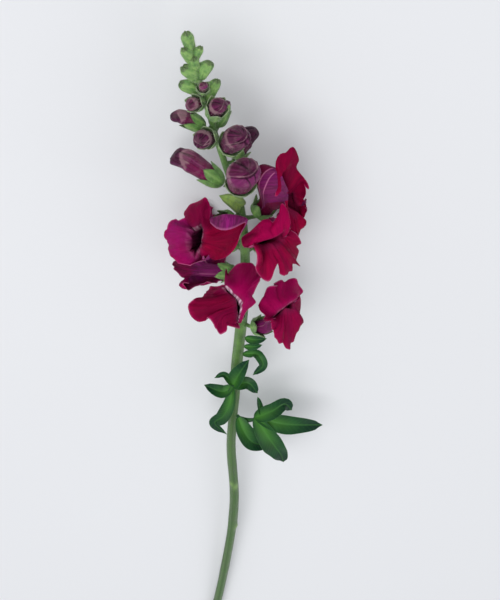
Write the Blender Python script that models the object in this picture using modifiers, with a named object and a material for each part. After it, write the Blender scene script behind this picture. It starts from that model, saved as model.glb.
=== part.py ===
"""A cut snapdragon flower spike, lying on its back on a flat surface.

Run it with blender --background --python part.py, or from Blender's text editor.
World units are metres, +Z up. The spike is laid out in its growing frame, in millimetres:
X to the right, +Y up the stem towards the tip and +Z out of the front of the spike. At the end it
is turned and lifted, so that the cut end and the petals of two back florets touch the surface.
"""

import math

import bmesh
import bpy
import numpy as np
from mathutils import Matrix, Vector

MM = 0.001

# How the spike lies: turned about X, then about Y, then moved so that the surface is at z = 0 and the
# origin is under the middle of its box.
LAY_PITCH_DEG = 3.83
LAY_ROLL_DEG = 0.36
LAY_OFFSET = (-1.27, 74.83, 26.28)
# Petals that would reach below the surface are pressed flat on it. This is how high their outer face stays.
PRESSED_HEIGHT = 0.75
PRESSED_SNAP = 0.5

# Stem: x, y, z of its centre line and its radius, from the cut end to the tip.
STEM_ROUTE = (
    (-32.5, -346.0, 0.0, 3.4),
    (-23.5, -287.0, 0.0, 3.3),
    (-15.5, -224.0, 0.0, 3.25),
    (-12.5, -191.0, 0.0, 3.3),
    (-11.5, -160.0, 0.0, 3.25),
    (-13.0, -115.0, 0.0, 3.1),
    (-12.0, -89.0, 0.0, 3.0),
    (-10.0, -60.0, 0.0, 3.1),
    (-8.5, -32.0, 0.0, 3.45),
    (-6.5, -8.0, 0.0, 3.4),
    (-4.5, 15.0, 0.0, 3.2),
    (-3.0, 40.0, 0.0, 2.9),
    (-3.0, 65.0, 0.0, 2.6),
    (-5.5, 94.0, 0.0, 2.2),
    (-10.0, 110.0, 0.0, 1.95),
    (-15.5, 130.0, 0.0, 1.6),
    (-20.5, 150.0, 0.0, 1.3),
    (-25.0, 168.0, 0.0, 1.1),
    (-28.3, 181.0, 0.0, 0.9),
    (-29.0, 188.0, 0.0, 0.6),
)
STEM_STEP = 9.0
STEM_BEVEL_RESOLUTION = 2

# Petals, sepals and leaves are this thick.
PETAL_THICK = 0.7
SEPAL_THICK = 0.7
LEAF_THICK = 0.8

# A full-size corolla: tube length, tube radius at the base and at the throat.
TUBE_LENGTH = 20.0
TUBE_BASE_RADIUS = 2.9
TUBE_THROAT_RADIUS = 5.6
TUBE_POUCH = 1.2
# Where the five lobes start and end round the mouth, in degrees: two above, three below.
LOBE_EDGES_DEG = (18.0, 90.0, 162.0, 242.0, 298.0, 378.0)
# How long the lip is, from the throat to the margin, at each of those edges and at each lobe's middle.
LOBE_EDGE_LENGTHS = (8.5, 17.0, 8.5, 15.5, 15.5, 8.5)
LOBE_TIP_LENGTHS = (22.0, 22.0, 19.5, 20.5, 19.5)
PALATE_LENGTH = 9.0
MOUTH_GAP = 2.2

LOBE_COLUMNS = 6
BACK_LOBE_COLUMNS = 4
TUBE_SHARES = (0.0, 0.07, 1.0)
LIP_ROWS = 5

PEDICEL_RADIUS = 1.15
PEDICEL_GAP = 0.35
CALYX_GAP = 0.75
CALYX_DEPTH = 3.4
SEPAL_LENGTH = 4.8
# Half the width of an open floret's calyx, which has to clear the stem.
CALYX_HALF = 4.4


def smoothstep(x):
    x = np.clip(x, 0.0, 1.0)
    return x * x * (3 - 2 * x)


def material(name, colour, roughness):
    """A Principled material with a plain colour."""
    made = bpy.data.materials.new(name)
    made.use_nodes = True
    shader = made.node_tree.nodes["Principled BSDF"]
    shader.inputs["Base Color"].default_value = (*colour, 1.0)
    shader.inputs["Roughness"].default_value = roughness
    return made


def catmull_rom(points, step):
    """A smooth curve through the points, sampled about every step along it."""
    points = np.asarray(points, float)
    ends = np.vstack([2 * points[0] - points[1], points, 2 * points[-1] - points[-2]])
    made = []
    for i in range(1, len(ends) - 2):
        before, start, end, after = ends[i - 1 : i + 3]
        count = max(1, round(float(np.linalg.norm((end - start)[:3])) / step))
        t = (np.arange(count) / count)[:, None]
        made.append(
            0.5
            * (
                2 * start
                + (end - before) * t
                + (2 * before - 5 * start + 4 * end - after) * t**2
                + (3 * start - before - 3 * end + after) * t**3
            )
        )
    return np.vstack([*made, points[-1:]])


STEM = catmull_rom(STEM_ROUTE, STEM_STEP)


def stem_at(y):
    """Centre, radius and direction of the stem at height y."""
    centre = np.array([np.interp(y, STEM[:, 1], STEM[:, k]) for k in range(3)])
    radius = float(np.interp(y, STEM[:, 1], STEM[:, 3]))
    above = np.array([np.interp(y + 4, STEM[:, 1], STEM[:, k]) for k in range(3)])
    below = np.array([np.interp(y - 4, STEM[:, 1], STEM[:, k]) for k in range(3)])
    return centre, radius, (above - below) / np.linalg.norm(above - below)


def frame_on_stem(y, azimuth, ascend, roll, reach, half):
    """Origin and axes of something that grows from the stem.

    The first axis points away from the stem at the azimuth (0 right, 90 front) and rises by ascend,
    and the third points up the stem, turned by roll. The origin lies reach along the first axis from
    a point so far out that something of that half width clears the stem.
    """
    centre, radius, along = stem_at(y)
    a, b, r = (math.radians(v) for v in (azimuth, ascend, roll))
    out = np.array([math.cos(a), 0.0, math.sin(a)])
    out -= along * (out @ along)
    out /= np.linalg.norm(out)
    first = math.cos(b) * out + math.sin(b) * along
    third = math.cos(b) * along - math.sin(b) * out
    second = np.cross(third, first)
    turned_second = math.cos(r) * second + math.sin(r) * third
    turned_third = math.cos(r) * third - math.sin(r) * second
    axes = np.array([first, turned_second, turned_third])
    return centre + out * (radius + half * abs(math.sin(b))) + first * reach, axes


def placed(points, origin, axes):
    return origin + points @ axes


def lay_turn():
    """The turn that lays the spike down, as a 3 by 3 matrix."""
    a, b = math.radians(LAY_PITCH_DEG), math.radians(LAY_ROLL_DEG)
    about_x = np.array([[1, 0, 0], [0, math.cos(a), -math.sin(a)], [0, math.sin(a), math.cos(a)]])
    about_y = np.array([[math.cos(b), 0, math.sin(b)], [0, 1, 0], [-math.sin(b), 0, math.cos(b)]])
    return about_y @ about_x


def pressed(points, height):
    """Points of the growing frame, with those lower than height above the surface lifted to it."""
    up = lay_turn()[2]
    above = points @ up + LAY_OFFSET[2]
    return points + np.clip(height - above, 0, None)[..., None] * up


def lay_down(obj):
    """Moves a finished mesh from the growing frame to the way the spike lies."""
    turn = Matrix(lay_turn().tolist()).to_4x4()
    obj.data.transform(Matrix.Translation(Vector(LAY_OFFSET) * MM) @ turn)
    for vertex in obj.data.vertices:
        if vertex.co.z < PRESSED_SNAP * MM:
            vertex.co.z = 0.0


def tube_radius(share):
    """Radius of the corolla tube at a share of its length."""
    grown = smoothstep(share * 0.92 + 0.04)
    return TUBE_BASE_RADIUS + (TUBE_THROAT_RADIUS - TUBE_BASE_RADIUS) * grown


def lobe_grid(columns, longer, merged=0.0):
    """Angle round the mouth, place in the lobe from -1 to 1, lip length, lobe and whether the nearer
    edge of the lobe lies within its lip, for each column.

    Where two lobes of one lip meet, the merged share of the notch between them is filled."""
    lobe = np.repeat(np.arange(5), columns)
    across = np.tile(np.linspace(-1, 1, columns + 1)[:-1], 5)
    start, end = np.array(LOBE_EDGES_DEG)[lobe], np.array(LOBE_EDGES_DEG)[lobe + 1]
    angle = start + (end - start) * (across + 1) / 2
    within = np.isin(2 * lobe + (across >= 0), (1, 2, 5, 6, 7, 8))
    tips = np.array(LOBE_TIP_LENGTHS) * np.array(longer)
    edges = np.array(LOBE_EDGE_LENGTHS)
    filled = np.array([0, *((tips[:-1] + tips[1:]) / 2 - edges[1:-1]), 0]) * (edges > 10)
    edges = edges + merged * filled
    edge = np.where(across < 0, edges[lobe], edges[lobe + 1])
    arch = (1 - np.abs(across) ** 2.4) ** 0.6
    return np.radians(angle), across, edge + (tips[lobe] - edge) * arch, lobe, within


def corolla_points(shape, columns, tube_shares, lip_rows):
    """The outer face of a corolla, as rows of points from its base to its margin.

    Along the tube each ring grows from the base radius to the throat's. Beyond the throat every
    meridian goes on for its own lip length while it turns outwards by the flare and then the curl.
    The lower lip is first lifted towards the upper one, which makes the palate that closes the mouth.
    """
    angle, across, length, lobe, within = lobe_grid(columns, shape["lobes"], shape["merged"])
    upper = (lobe < 2).astype(float)
    length = length * shape["lip"]
    rows = []
    round_y, round_z = np.cos(angle) * 0.92, np.sin(angle)
    tube_length = TUBE_LENGTH * shape["tube"]
    for share in tube_shares:
        radius = tube_radius(share) * (share > 0)
        pouch = TUBE_POUCH * math.exp(-(((share - 0.22) / 0.16) ** 2)) * np.clip(-round_z, 0, 1) ** 2
        radius = radius + pouch * (share > 0)
        rows.append(np.stack([tube_length * share + 0 * angle, radius * round_y, radius * round_z], 1))
    flare = np.where(upper > 0, shape["flare_up"], shape["flare_down"])
    curl = np.where(upper > 0, shape["curl_up"], shape["curl_down"])
    fine = 8
    forward = np.full(angle.shape, tube_length)
    outward = np.full(angle.shape, TUBE_THROAT_RADIUS)
    wave_a, wave_b = shape["waves"][0][lobe], shape["waves"][1][lobe]
    for row in range(1, lip_rows + 1):
        for part in range(fine):
            reached = (row - 1 + (part + 0.5) / fine) / lip_rows * length
            turn = np.radians(
                12 + (flare - 12) * smoothstep(reached / 9) + curl * smoothstep((reached - 8) / 10)
            )
            forward = forward + np.cos(turn) * length / lip_rows / fine
            outward = outward + np.sin(turn) * length / lip_rows / fine
        share = row / lip_rows
        reached = share * length
        ruffle = shape["ruffle"] * share**2 * (
            np.sin(2.8 * across + wave_a) + 0.5 * np.sin(5.2 * across + wave_b)
        ) - shape["cup"] * share**1.5 * across**2 * np.where(within, 1 - 0.7 * shape["merged"], 1)
        x = forward - np.sin(turn) * ruffle
        radius = outward + np.cos(turn) * ruffle
        y, z = radius * round_y, radius * round_z
        hump = np.sin(np.pi * np.clip(reached / PALATE_LENGTH, 0, 1)) ** 2
        groove = 1 - 0.22 * np.exp(-(((np.degrees(angle) - 270) / 12) ** 2))
        lift = shape["palate"] * groove * hump * np.clip(-2 * z - MOUTH_GAP, 0, None)
        z = z + np.where(z < 0, lift, 0)
        rows.append(np.stack([x, y, z], 1))
    return np.array(rows)


def triangles_of(rows, columns, closed):
    """Faces of a grid of points, each square split the same way."""
    faces = []
    span = columns if closed else columns - 1
    for i in range(rows - 1):
        for j in range(span):
            a, b = i * columns + j, i * columns + (j + 1) % columns
            c, d = b + columns, a + columns
            faces += [(a, b, c), (a, c, d)]
    return faces


def grid_object(name, points, closed, collection):
    """An object from rows of points in the growing frame. Points that coincide are merged."""
    points = np.asarray(points)
    rows, columns = points.shape[:2]
    mesh = bpy.data.meshes.new(name)
    mesh.from_pydata((points.reshape(-1, 3) * MM).tolist(), [], triangles_of(rows, columns, closed))
    work = bmesh.new()
    work.from_mesh(mesh)
    bmesh.ops.remove_doubles(work, verts=work.verts, dist=0.02 * MM)
    bmesh.ops.recalc_face_normals(work, faces=work.faces)
    work.to_mesh(mesh)
    work.free()
    made = bpy.data.objects.new(name, mesh)
    collection.objects.link(made)
    return made


def face_away(obj, inside, outwards=True):
    """Turns the faces so that those nearest the point inside look away from it, or towards it."""
    mesh = obj.data
    point = Vector(inside) * MM
    nearest = min(mesh.polygons, key=lambda f: (f.center - point).length)
    looks_out = nearest.normal.dot(nearest.center - point) > 0
    if looks_out != outwards:
        mesh.flip_normals()


def thicken(obj, thickness, offset):
    """A Solidify wall of that thickness: offset -1 goes in, 1 goes out and 0 is centred."""
    wall = obj.modifiers.new("wall", "SOLIDIFY")
    wall.thickness = thickness * MM
    wall.offset = offset
    wall.use_even_offset = False


def baked(obj):
    """The object with its modifiers made part of its mesh."""
    graph = bpy.context.evaluated_depsgraph_get()
    mesh = bpy.data.meshes.new_from_object(obj.evaluated_get(graph))
    obj.modifiers.clear()
    obj.data = mesh
    return obj


def tube_object(name, points, radii, collection, resolution=2):
    """A round tube along points, with caps, as a closed mesh."""
    curve = bpy.data.curves.new(name, "CURVE")
    curve.dimensions = "3D"
    curve.bevel_depth = MM
    curve.bevel_resolution = resolution
    curve.use_fill_caps = True
    spline = curve.splines.new("POLY")
    spline.points.add(len(points) - 1)
    for point, place, radius in zip(spline.points, points, radii):
        point.co = (*(np.asarray(place) * MM), 1.0)
        point.radius = radius
    guide = bpy.data.objects.new(name + "_line", curve)
    collection.objects.link(guide)
    bpy.context.view_layer.update()
    graph = bpy.context.evaluated_depsgraph_get()
    mesh = bpy.data.meshes.new_from_object(guide.evaluated_get(graph))
    bpy.data.objects.remove(guide)
    work = bmesh.new()
    work.from_mesh(mesh)
    bmesh.ops.remove_doubles(work, verts=work.verts, dist=0.01 * MM)
    bmesh.ops.recalc_face_normals(work, faces=work.faces)
    bmesh.ops.triangulate(work, faces=work.faces)
    work.to_mesh(mesh)
    work.free()
    made = bpy.data.objects.new(name, mesh)
    collection.objects.link(made)
    return made


def fuse(base, repeats):
    """One Boolean union of base with a collection, applied, whose objects are then removed."""
    joint = base.modifiers.new("grown_together", "BOOLEAN")
    joint.operation = "UNION"
    joint.operand_type = "COLLECTION"
    joint.collection = repeats
    joint.solver = "EXACT"
    joint.use_self = True
    bpy.context.view_layer.update()
    baked(base)
    keep_largest(base)
    for obj in list(repeats.objects):
        bpy.data.objects.remove(obj)
    bpy.data.collections.remove(repeats)


def keep_largest(obj):
    """Drops the loose scraps that a union can leave beside the body."""
    work = bmesh.new()
    work.from_mesh(obj.data)
    left = set(work.verts)
    islands = []
    while left:
        island = set()
        edge = {left.pop()}
        while edge:
            island |= edge
            edge = {e.other_vert(v) for v in edge for e in v.link_edges} - island
        left -= island
        islands.append(island)
    islands.sort(key=len)
    for island in islands[:-1]:
        bmesh.ops.delete(work, geom=list(island), context="VERTS")
    work.to_mesh(obj.data)
    work.free()


def corolla_shape(seed, tube=1.0, lip=1.0, flare_up=70, curl_up=45, flare_down=80, curl_down=45,
                  palate=0.9, ruffle=2.0, cup=2.6, merged=0.0, lobes=(1.0, 1.0, 1.0, 1.0, 1.0)):
    draw = np.random.default_rng(seed)
    return {
        "tube": tube,
        "lip": lip,
        "flare_up": flare_up,
        "curl_up": curl_up,
        "flare_down": flare_down,
        "curl_down": curl_down,
        "palate": palate,
        "ruffle": ruffle,
        "cup": cup,
        "merged": merged,
        "lobes": lobes,
        "waves": draw.uniform(0, 2 * np.pi, (2, 5)),
    }


# Open florets, from the lowest: name, height on the stem, azimuth, ascend, roll, pedicel length, scale, shape.
FLORETS = (
    ("right_low", 6, 33, 36, -8, 4.5, 1.08,
     dict(tube=1.15, lip=1.01, flare_up=88, curl_up=15,
          flare_down=104, curl_down=87, lobes=(0.96, 0.99, 1.15, 0.86, 1.05))),
    ("left_low", 16, 113, 58, -41, 4.5, 1.02,
     dict(tube=1.1, lip=0.92, flare_up=59, curl_up=53,
          flare_down=45, curl_down=31, lobes=(0.72, 1.04, 0.76, 1.14, 1.18))),
    ("left_mid", 44, 209, -18, -13, 4.5, 0.85,
     dict(tube=1.03, lip=1.09, flare_up=57, curl_up=0,
          flare_down=115, curl_down=78, lobes=(0.95, 0.81, 0.89, 1.2, 0.99))),
    ("right_mid", 76, 47, 5, 5, 4.5, 0.86,
     dict(tube=0.9, lip=0.94, flare_up=90, curl_up=58,
          flare_down=70, curl_down=51, lobes=(1.0, 1.27, 0.91, 0.89, 1.16))),
    ("back_right", 61, 319, 3, -9, 4.5, 0.9,
     dict(tube=0.98, lip=0.88, flare_up=35, curl_up=53,
          flare_down=114, curl_down=75, lobes=(1.01, 0.96, 1.03, 0.99, 1.0))),
    ("left_high", 89, 134, 12, -49, 4.5, 1.1,
     dict(tube=1.1, lip=0.86, flare_up=100, curl_up=72,
          flare_down=45, curl_down=13, palate=0.4, lobes=(1.34, 0.91, 0.74, 0.74, 0.78))),
    ("back_left", 62, 224, 2, -3, 4.5, 0.85,
     dict(tube=1.03, lip=0.89, flare_up=35, curl_up=42,
          flare_down=46, curl_down=46, lobes=(0.96, 0.82, 1.05, 0.98, 1.04))),
    ("right_high", 85, 5, 48, -18, 4.5, 1.14,
     dict(tube=0.96, lip=0.91, flare_up=100, curl_up=90,
          flare_down=111, curl_down=89, lobes=(0.94, 1.23, 1.02, 0.73, 1.05))),
)
# Where marked points of a petal sheet come to lie in the growing frame: lobe, place across it from -1
# to 1, run from 0 at the throat to 1 at the margin (-1 at the base of the tube), then x, y and z.
PETAL_MARKS = {
    "left_high": (
        (1, -0.62, 1, -20.2, 111.7, 26.8), (1, -0.25, 1, -23.1, 117.5, 24.8),
        (1, 0.05, 1, -26.3, 113.5, 22.6), (1, 0.4, 1, -30.8, 109.8, 20.1), (1, 0.75, 1, -34.2, 104.8, 19.7),
        (2, -1, 1, -32.5, 101.1, 24.0), (1, 0, 0.5, -26.2, 110.1, 30.0), (1, 0.2, 0.12, -26.4, 101.0, 29.0),
        (2, -0.5, 1, -36.2, 101.8, 22.8), (2, 0, 1, -40.0, 100.6, 21.3), (2, 0.5, 1, -42.9, 99.2, 23.6),
        (3, -1, 1, -44.3, 95.7, 23.9), (3, -0.5, 1, -45.6, 91.5, 23.2), (3, 0, 1, -44.1, 87.2, 22.5),
        (3, 0.5, 1, -43.4, 86.3, 27.4), (4, -1, 1, -42.5, 83.6, 29.8), (4, -0.5, 1, -39.8, 83.5, 33.4),
        (4, 0, 1, -35.9, 81.5, 34.8), (4, 0.5, 1, -30.1, 83.7, 37.4), (4, 0.8, 1, -25.6, 85.3, 36.7),
        (0, -1, 1, -23.8, 87.4, 34.5), (3, 0, 0.5, -37.8, 94.7, 31.0), (4, 0, 0.5, -33.4, 86.2, 34.0),
        (2, 0, 0.5, -35.9, 102.1, 29.0), (2, 0, 0.15, -29.3, 100.7, 31.0),
        (3, -0.5, 0.15, -30.4, 97.5, 33.0), (3, 0.4, 0.15, -30.6, 93.3, 34.0),
        (4, 0, 0.15, -29.5, 89.6, 34.0), (2, 0, 0, -29.4, 95.4, 26.0), (3, 0, 0, -30.4, 89.4, 26.0),
        (4, 0, 0, -29.6, 85.4, 27.0), (2, 0, -0.3, -28.3, 89.8, 20.0), (3, 0, -0.3, -28.4, 86.3, 21.0),
        (4, 0, -0.3, -28.4, 82.0, 21.0), (0, -0.85, 1, -22.5, 90.1, 38.8), (0, -0.6, 1, -19.8, 82.5, 31.7),
        (0, -0.35, 1, -15.3, 81.2, 30.0), (0, -0.15, 1, -10.7, 83.8, 29.6), (0, 0, 1, -6.9, 90.4, 29.9),
        (0, 0.2, 1, -4.5, 99.8, 30.3), (0, 0.4, 0.8, -1.4, 107.7, 31.0), (0, 0.4, 1, -1.9, 110.5, 37.0),
        (0, 0.62, 0.75, -7.0, 111.6, 32.0), (0, 0.62, 1, -7.5, 111.3, 42.0),
        (0, 0.85, 0.75, -14.0, 111.8, 32.0), (0, 0.85, 1, -14.4, 110.4, 43.0),
        (1, -1, 0.7, -18.5, 109.3, 31.0), (1, -1, 1, -18.6, 110.2, 39.0), (0, 0, 0.5, -15.5, 96.2, 35.0),
        (0, 0.5, 0.45, -15.4, 102.7, 34.0), (0, -0.6, 0.5, -20.8, 90.3, 36.0),
        (0, -1, 0.5, -25.1, 84.7, 29.9), (1, -1, 0.12, -24.1, 102.2, 31.0),
        (0, 0.2, 0.12, -24.5, 99.3, 34.0), (0, -0.6, 0.12, -25.4, 93.7, 34.0),
        (4, 1, 0.12, -27.1, 89.7, 34.0), (1, -1, 0, -24.2, 96.7, 23.0), (0, 0, 0, -25.2, 89.1, 24.0),
    ),
    "left_mid": (
        (0, 1, 1, -43.6, 40.8, -17.2), (0, 0.3, 1, -45.8, 43.9, -9.7), (0, -0.3, 1, -42.7, 41.4, -5.6),
        (0, -1, 1, -36.3, 34.9, -9.2), (4, 0.5, 1, -38.2, 39.7, 1.2), (4, 0.2, 1, -38.2, 38.3, 2.6),
        (4, -0.3, 1, -30.9, 34.7, -1.2), (4, -1, 1, -23.6, 34.9, -4.3),
    ),
    "right_mid": (
        (1, 1, 1, 3.0, 88.3, 25.6), (1, 0.6, 1, -3.0, 84.8, 25.1), (1, 0.2, 1, -4.4, 85.7, 21.5),
        (1, -0.2, 1, -1.1, 88.4, 17.0), (1, -0.65, 1, 4.5, 97.2, 20.0), (0, 1, 1, 10.2, 98.9, 19.0),
        (0, 0.7, 1, 14.3, 100.9, 19.0), (0, 0.45, 1, 16.0, 103.4, 18.0), (0, 0.25, 1, 16.2, 106.8, 16.0),
        (0, 0.1, 1, 18.0, 106.6, 16.0), (0, -0.15, 1, 20.1, 102.7, 17.0), (0, -0.45, 1, 21.3, 96.9, 18.0),
        (0, -0.75, 1, 20.1, 91.1, 17.0), (0, -1, 1, 18.9, 86.4, 15.0), (1, 0.3, 0.2, 3.4, 88.0, 25.0),
        (1, -0.4, 0.2, 7.9, 90.1, 25.0), (0, 0.9, 0.2, 12.6, 91.8, 25.0), (0, 0.1, 0.2, 16.6, 92.9, 23.0),
        (0, -0.6, 0.3, 18.7, 91.9, 20.0), (1, 0, 0.6, 1.9, 91.8, 25.0), (1, -0.9, 0.6, 9.0, 96.3, 24.0),
        (0, 0.3, 0.6, 15.0, 98.0, 22.0), (0, -0.2, 0.6, 18.4, 98.7, 21.0), (2, -0.5, 1, 3.4, 86.6, 31.7),
        (2, 0, 1, 3.1, 76.3, 30.0), (2, 0.5, 1, 7.0, 65.4, 28.3), (2, 0.85, 1, 12.2, 64.9, 26.0),
        (3, -1, 1, 14.3, 72.5, 24.8), (3, -0.6, 1, 16.2, 65.8, 22.0), (3, 0, 1, 19.7, 62.3, 21.2),
        (3, 0.6, 1, 23.5, 63.3, 16.9), (3, 1, 1, 24.8, 65.4, 15.4), (4, -0.6, 1, 28.0, 60.5, 11.7),
        (4, -0.2, 1, 25.9, 62.9, 8.3), (4, 0.1, 1, 27.2, 66.7, 7.2), (4, 0.4, 1, 25.8, 71.4, 6.8),
        (4, 0.75, 1, 27.1, 80.4, 11.7), (2, 0, 0.2, 5.8, 82.6, 21.0), (3, 0, 0.2, 11.9, 83.8, 21.0),
        (4, 0, 0.2, 17.8, 83.8, 16.0), (2, 0, 0.6, 6.9, 76.0, 26.0), (3, 0, 0.6, 17.0, 74.5, 23.0),
        (4, 0, 0.6, 23.1, 74.2, 14.0), (3, -1, 0.6, 12.0, 78.2, 25.0), (3, 1, 0.6, 21.0, 75.3, 19.0),
    ),
    "right_high": (
        (1, 1, 1, 16.3, 108.8, 12.0), (1, 0.8, 1, 14.8, 116.3, 13.0), (1, 0.6, 1, 13.5, 123.2, 12.0),
        (1, 0.4, 1, 13.3, 128.7, 9.0), (1, 0.2, 1, 15.7, 131.4, 6.0), (1, 0, 1, 19.2, 131.1, 4.0),
        (1, -0.1, 1, 20.8, 133.4, 3.0), (1, -0.4, 1, 24.1, 128.8, 2.0), (1, -0.7, 1, 24.8, 124.0, 2.0),
        (0, 1, 1, 24.1, 118.4, 1.0), (0, 0.7, 1, 27.5, 114.3, 1.0), (0, 0.35, 1, 29.8, 111.8, 2.0),
        (0, 0.15, 1, 31.6, 107.6, 3.0), (0, 0, 1, 30.7, 107.2, 3.0), (0, -0.15, 1, 28.9, 109.0, 2.0),
        (0, -0.5, 1, 30.0, 103.0, 2.0), (0, -1, 1, 30.4, 98.0, 3.0), (4, 0.5, 1, 30.5, 94.2, 3.0),
        (4, 0, 1, 29.8, 90.1, 4.0), (4, -0.5, 1, 28.5, 86.2, 5.0), (4, -1, 1, 26.9, 82.8, 6.0),
        (3, 0.5, 1, 26.6, 79.6, 7.0), (3, 0, 1, 26.2, 77.2, 9.0), (2, 1, 1, 23.5, 79.3, 11.0),
        (2, 0.5, 1, 21.7, 88.4, 12.0), (2, 0, 1, 20.9, 95.2, 12.0), (2, -0.5, 1, 18.6, 101.8, 12.0),
        (2, -0.8, 1, 17.1, 106.0, 12.0), (1, -1, -0.4, 4.0, 114.6, 3.0), (3, 0, -0.4, 12.7, 94.8, 7.0),
        (1, 1, -0.3, 7.1, 111.6, 14.0), (1, 0.5, -0.4, 2.6, 114.0, 11.0), (1, -1, 0.02, 10.8, 120.9, 4.0),
        (1, 1, 0.02, 15.4, 112.3, 14.0), (3, 0, 0.02, 18.3, 101.7, 8.0), (0, -1, 0.02, 22.5, 101.5, -4.0),
        (1, -1, 0.5, 21.0, 117.5, 5.0), (1, -1, 0.2, 17.0, 113.4, 5.0), (1, 0, 0.5, 18.4, 126.5, 11.0),
        (1, 0.6, 0.5, 15.7, 121.7, 13.0), (0, 0, 0.5, 24.9, 107.2, 0.0), (0, 0.2, 0.15, 18.8, 103.2, 1.0),
        (0, -1, 0.3, 23.7, 96.1, -1.0), (3, 0, 0.5, 24.7, 90.0, 9.0), (3, 0, 0.15, 21.6, 95.3, 7.0),
        (4, 0, 0.15, 25.9, 89.5, -2.0), (4, 0, 0.6, 27.8, 89.1, 4.0), (2, 0, 0.5, 19.7, 97.5, 10.0),
    ),
    "left_low": (
        (1, 1, 1, -13.6, 54.3, 19.9), (1, 0.6, 1, -12.5, 50.8, 6.6), (1, 0.3, 1, -9.2, 54.7, 5.2),
        (1, 0, 1, -2.8, 60.0, 7.8), (1, -0.5, 1, 3.9, 58.7, 11.1), (1, -1, 1, 6.3, 57.1, 16.7),
        (0, 0.5, 1, 3.5, 54.7, 22.9), (0, 0, 1, 2.2, 49.4, 26.5), (0, -0.5, 1, -0.7, 45.0, 29.8),
        (0, -0.8, 1, -3.8, 39.5, 31.1), (0, -1, 1, -6.7, 33.0, 29.3), (4, 0.6, 1, -10.3, 41.1, 40.1),
        (4, 0.1, 1, -13.1, 39.8, 42.8), (4, -0.3, 1, -17.7, 39.8, 43.0), (4, -0.6, 1, -19.5, 42.6, 41.9),
        (4, -1, 1, -23.5, 47.9, 40.1), (3, 0.7, 1, -25.1, 41.8, 36.5), (3, 0.35, 1, -29.3, 40.3, 35.2),
        (3, 0, 1, -34.0, 47.7, 33.3), (3, -0.5, 1, -31.4, 51.3, 29.4), (3, -1, 1, -28.5, 49.5, 25.5),
        (2, 0.4, 1, -25.4, 47.0, 19.3), (2, -0.2, 1, -23.3, 46.2, 14.9), (2, -0.6, 1, -21.1, 49.8, 16.3),
        (2, -0.9, 1, -15.4, 53.0, 18.9), (1, 0.6, 0.15, -11.9, 60.4, 30.0), (1, 0, 0.15, -8.9, 56.7, 31.0),
        (1, -1, 0.15, -5.5, 53.0, 33.0), (0, 0, 0.15, -5.4, 48.4, 34.0), (0, -0.6, 0.15, -6.4, 42.7, 34.0),
        (0, -1, 0.5, -7.3, 38.4, 34.0), (2, 0, 0.15, -13.8, 59.5, 29.0), (3, 0, 0.15, -7.9, 53.5, 31.0),
        (4, 0, 0.15, -6.9, 45.1, 34.0), (3, 0, 0.6, -22.6, 50.7, 35.0), (4, 0, 0.6, -14.4, 46.9, 39.0),
        (2, 0, 0.6, -19.3, 54.6, 27.0), (1, 0, 0.6, -4.8, 62.0, 24.0), (0, 0, 0.6, -0.7, 55.3, 32.0),
    ),
    "right_low": (
        (1, 1, 1, 10.9, 35.1, 28.2), (1, 0.8, 1, 8.4, 37.6, 28.9), (1, 0.5, 1, 6.8, 39.4, 26.9),
        (1, 0, 1, 5.9, 40.8, 18.9), (1, -0.5, 1, 9.4, 44.1, 11.9), (1, -1, 1, 15.8, 43.8, 8.9),
        (0, 0.5, 1, 19.3, 41.0, 1.6), (0, 0.2, 1, 23.3, 40.7, -0.7), (0, -0.1, 1, 27.4, 39.8, -1.6),
        (0, -0.4, 1, 30.6, 32.0, -2.0), (0, -0.75, 1, 29.0, 28.3, 0.2), (0, -1, 1, 26.2, 32.4, 8.3),
        (4, 0.5, 1, 29.5, 18.6, 2.1), (4, 0.1, 1, 29.1, 15.8, 3.6), (4, -0.4, 1, 31.1, 13.5, 7.6),
        (4, -1, 1, 28.0, 14.7, 15.3), (3, 0.5, 1, 26.0, 8.4, 18.4), (3, 0, 1, 22.5, 5.9, 22.6),
        (3, -0.5, 1, 17.5, 13.1, 25.2), (3, -1, 1, 14.1, 19.8, 26.9), (2, 0.5, 1, 13.1, 23.1, 24.1),
        (2, 0, 1, 12.1, 30.1, 27.2), (2, -0.5, 1, 11.6, 31.2, 25.9), (2, -0.8, 1, 11.2, 33.5, 27.2),
        (1, 0.5, 0.2, 12.5, 30.5, 22.0), (1, -0.3, 0.2, 15.7, 35.4, 21.0), (0, 0.6, 0.2, 21.0, 38.7, 19.0),
        (0, -0.2, 0.2, 25.8, 39.2, 15.0), (1, 0, 0.6, 10.0, 38.9, 20.0), (0, 0.8, 0.6, 16.4, 41.1, 15.0),
        (0, 0, 0.6, 24.5, 39.7, 8.0), (3, 0, 0.2, 20.4, 34.6, 18.0), (2, 0, 0.2, 14.4, 29.6, 20.0),
        (4, 0, 0.2, 25.3, 34.0, 13.0), (3, 0, 0.6, 21.0, 21.1, 22.0), (2, 0.3, 0.6, 15.8, 28.0, 24.0),
        (4, 0, 0.6, 26.0, 24.7, 12.0),
    ),
}
# How far the move of one mark is felt on the flower unrolled as a disk, and the throat's radius there.
MARK_REACH = 0.55
MARK_THROAT = 0.4
# The finer sheet on which the marks are found.
MARK_COLUMNS = 26
MARK_SHARES = tuple((k / 16) ** 0.8 for k in range(16))
MARK_ROWS = 44
# How much of the palate's lift is left in the florets that have marks.
MARKED_PALATE = {"left_low": 0.2, "left_mid": 0.6}
MARKED_TUBE_SHARES = (0.0, 0.07, 0.55, 1.0)

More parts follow.
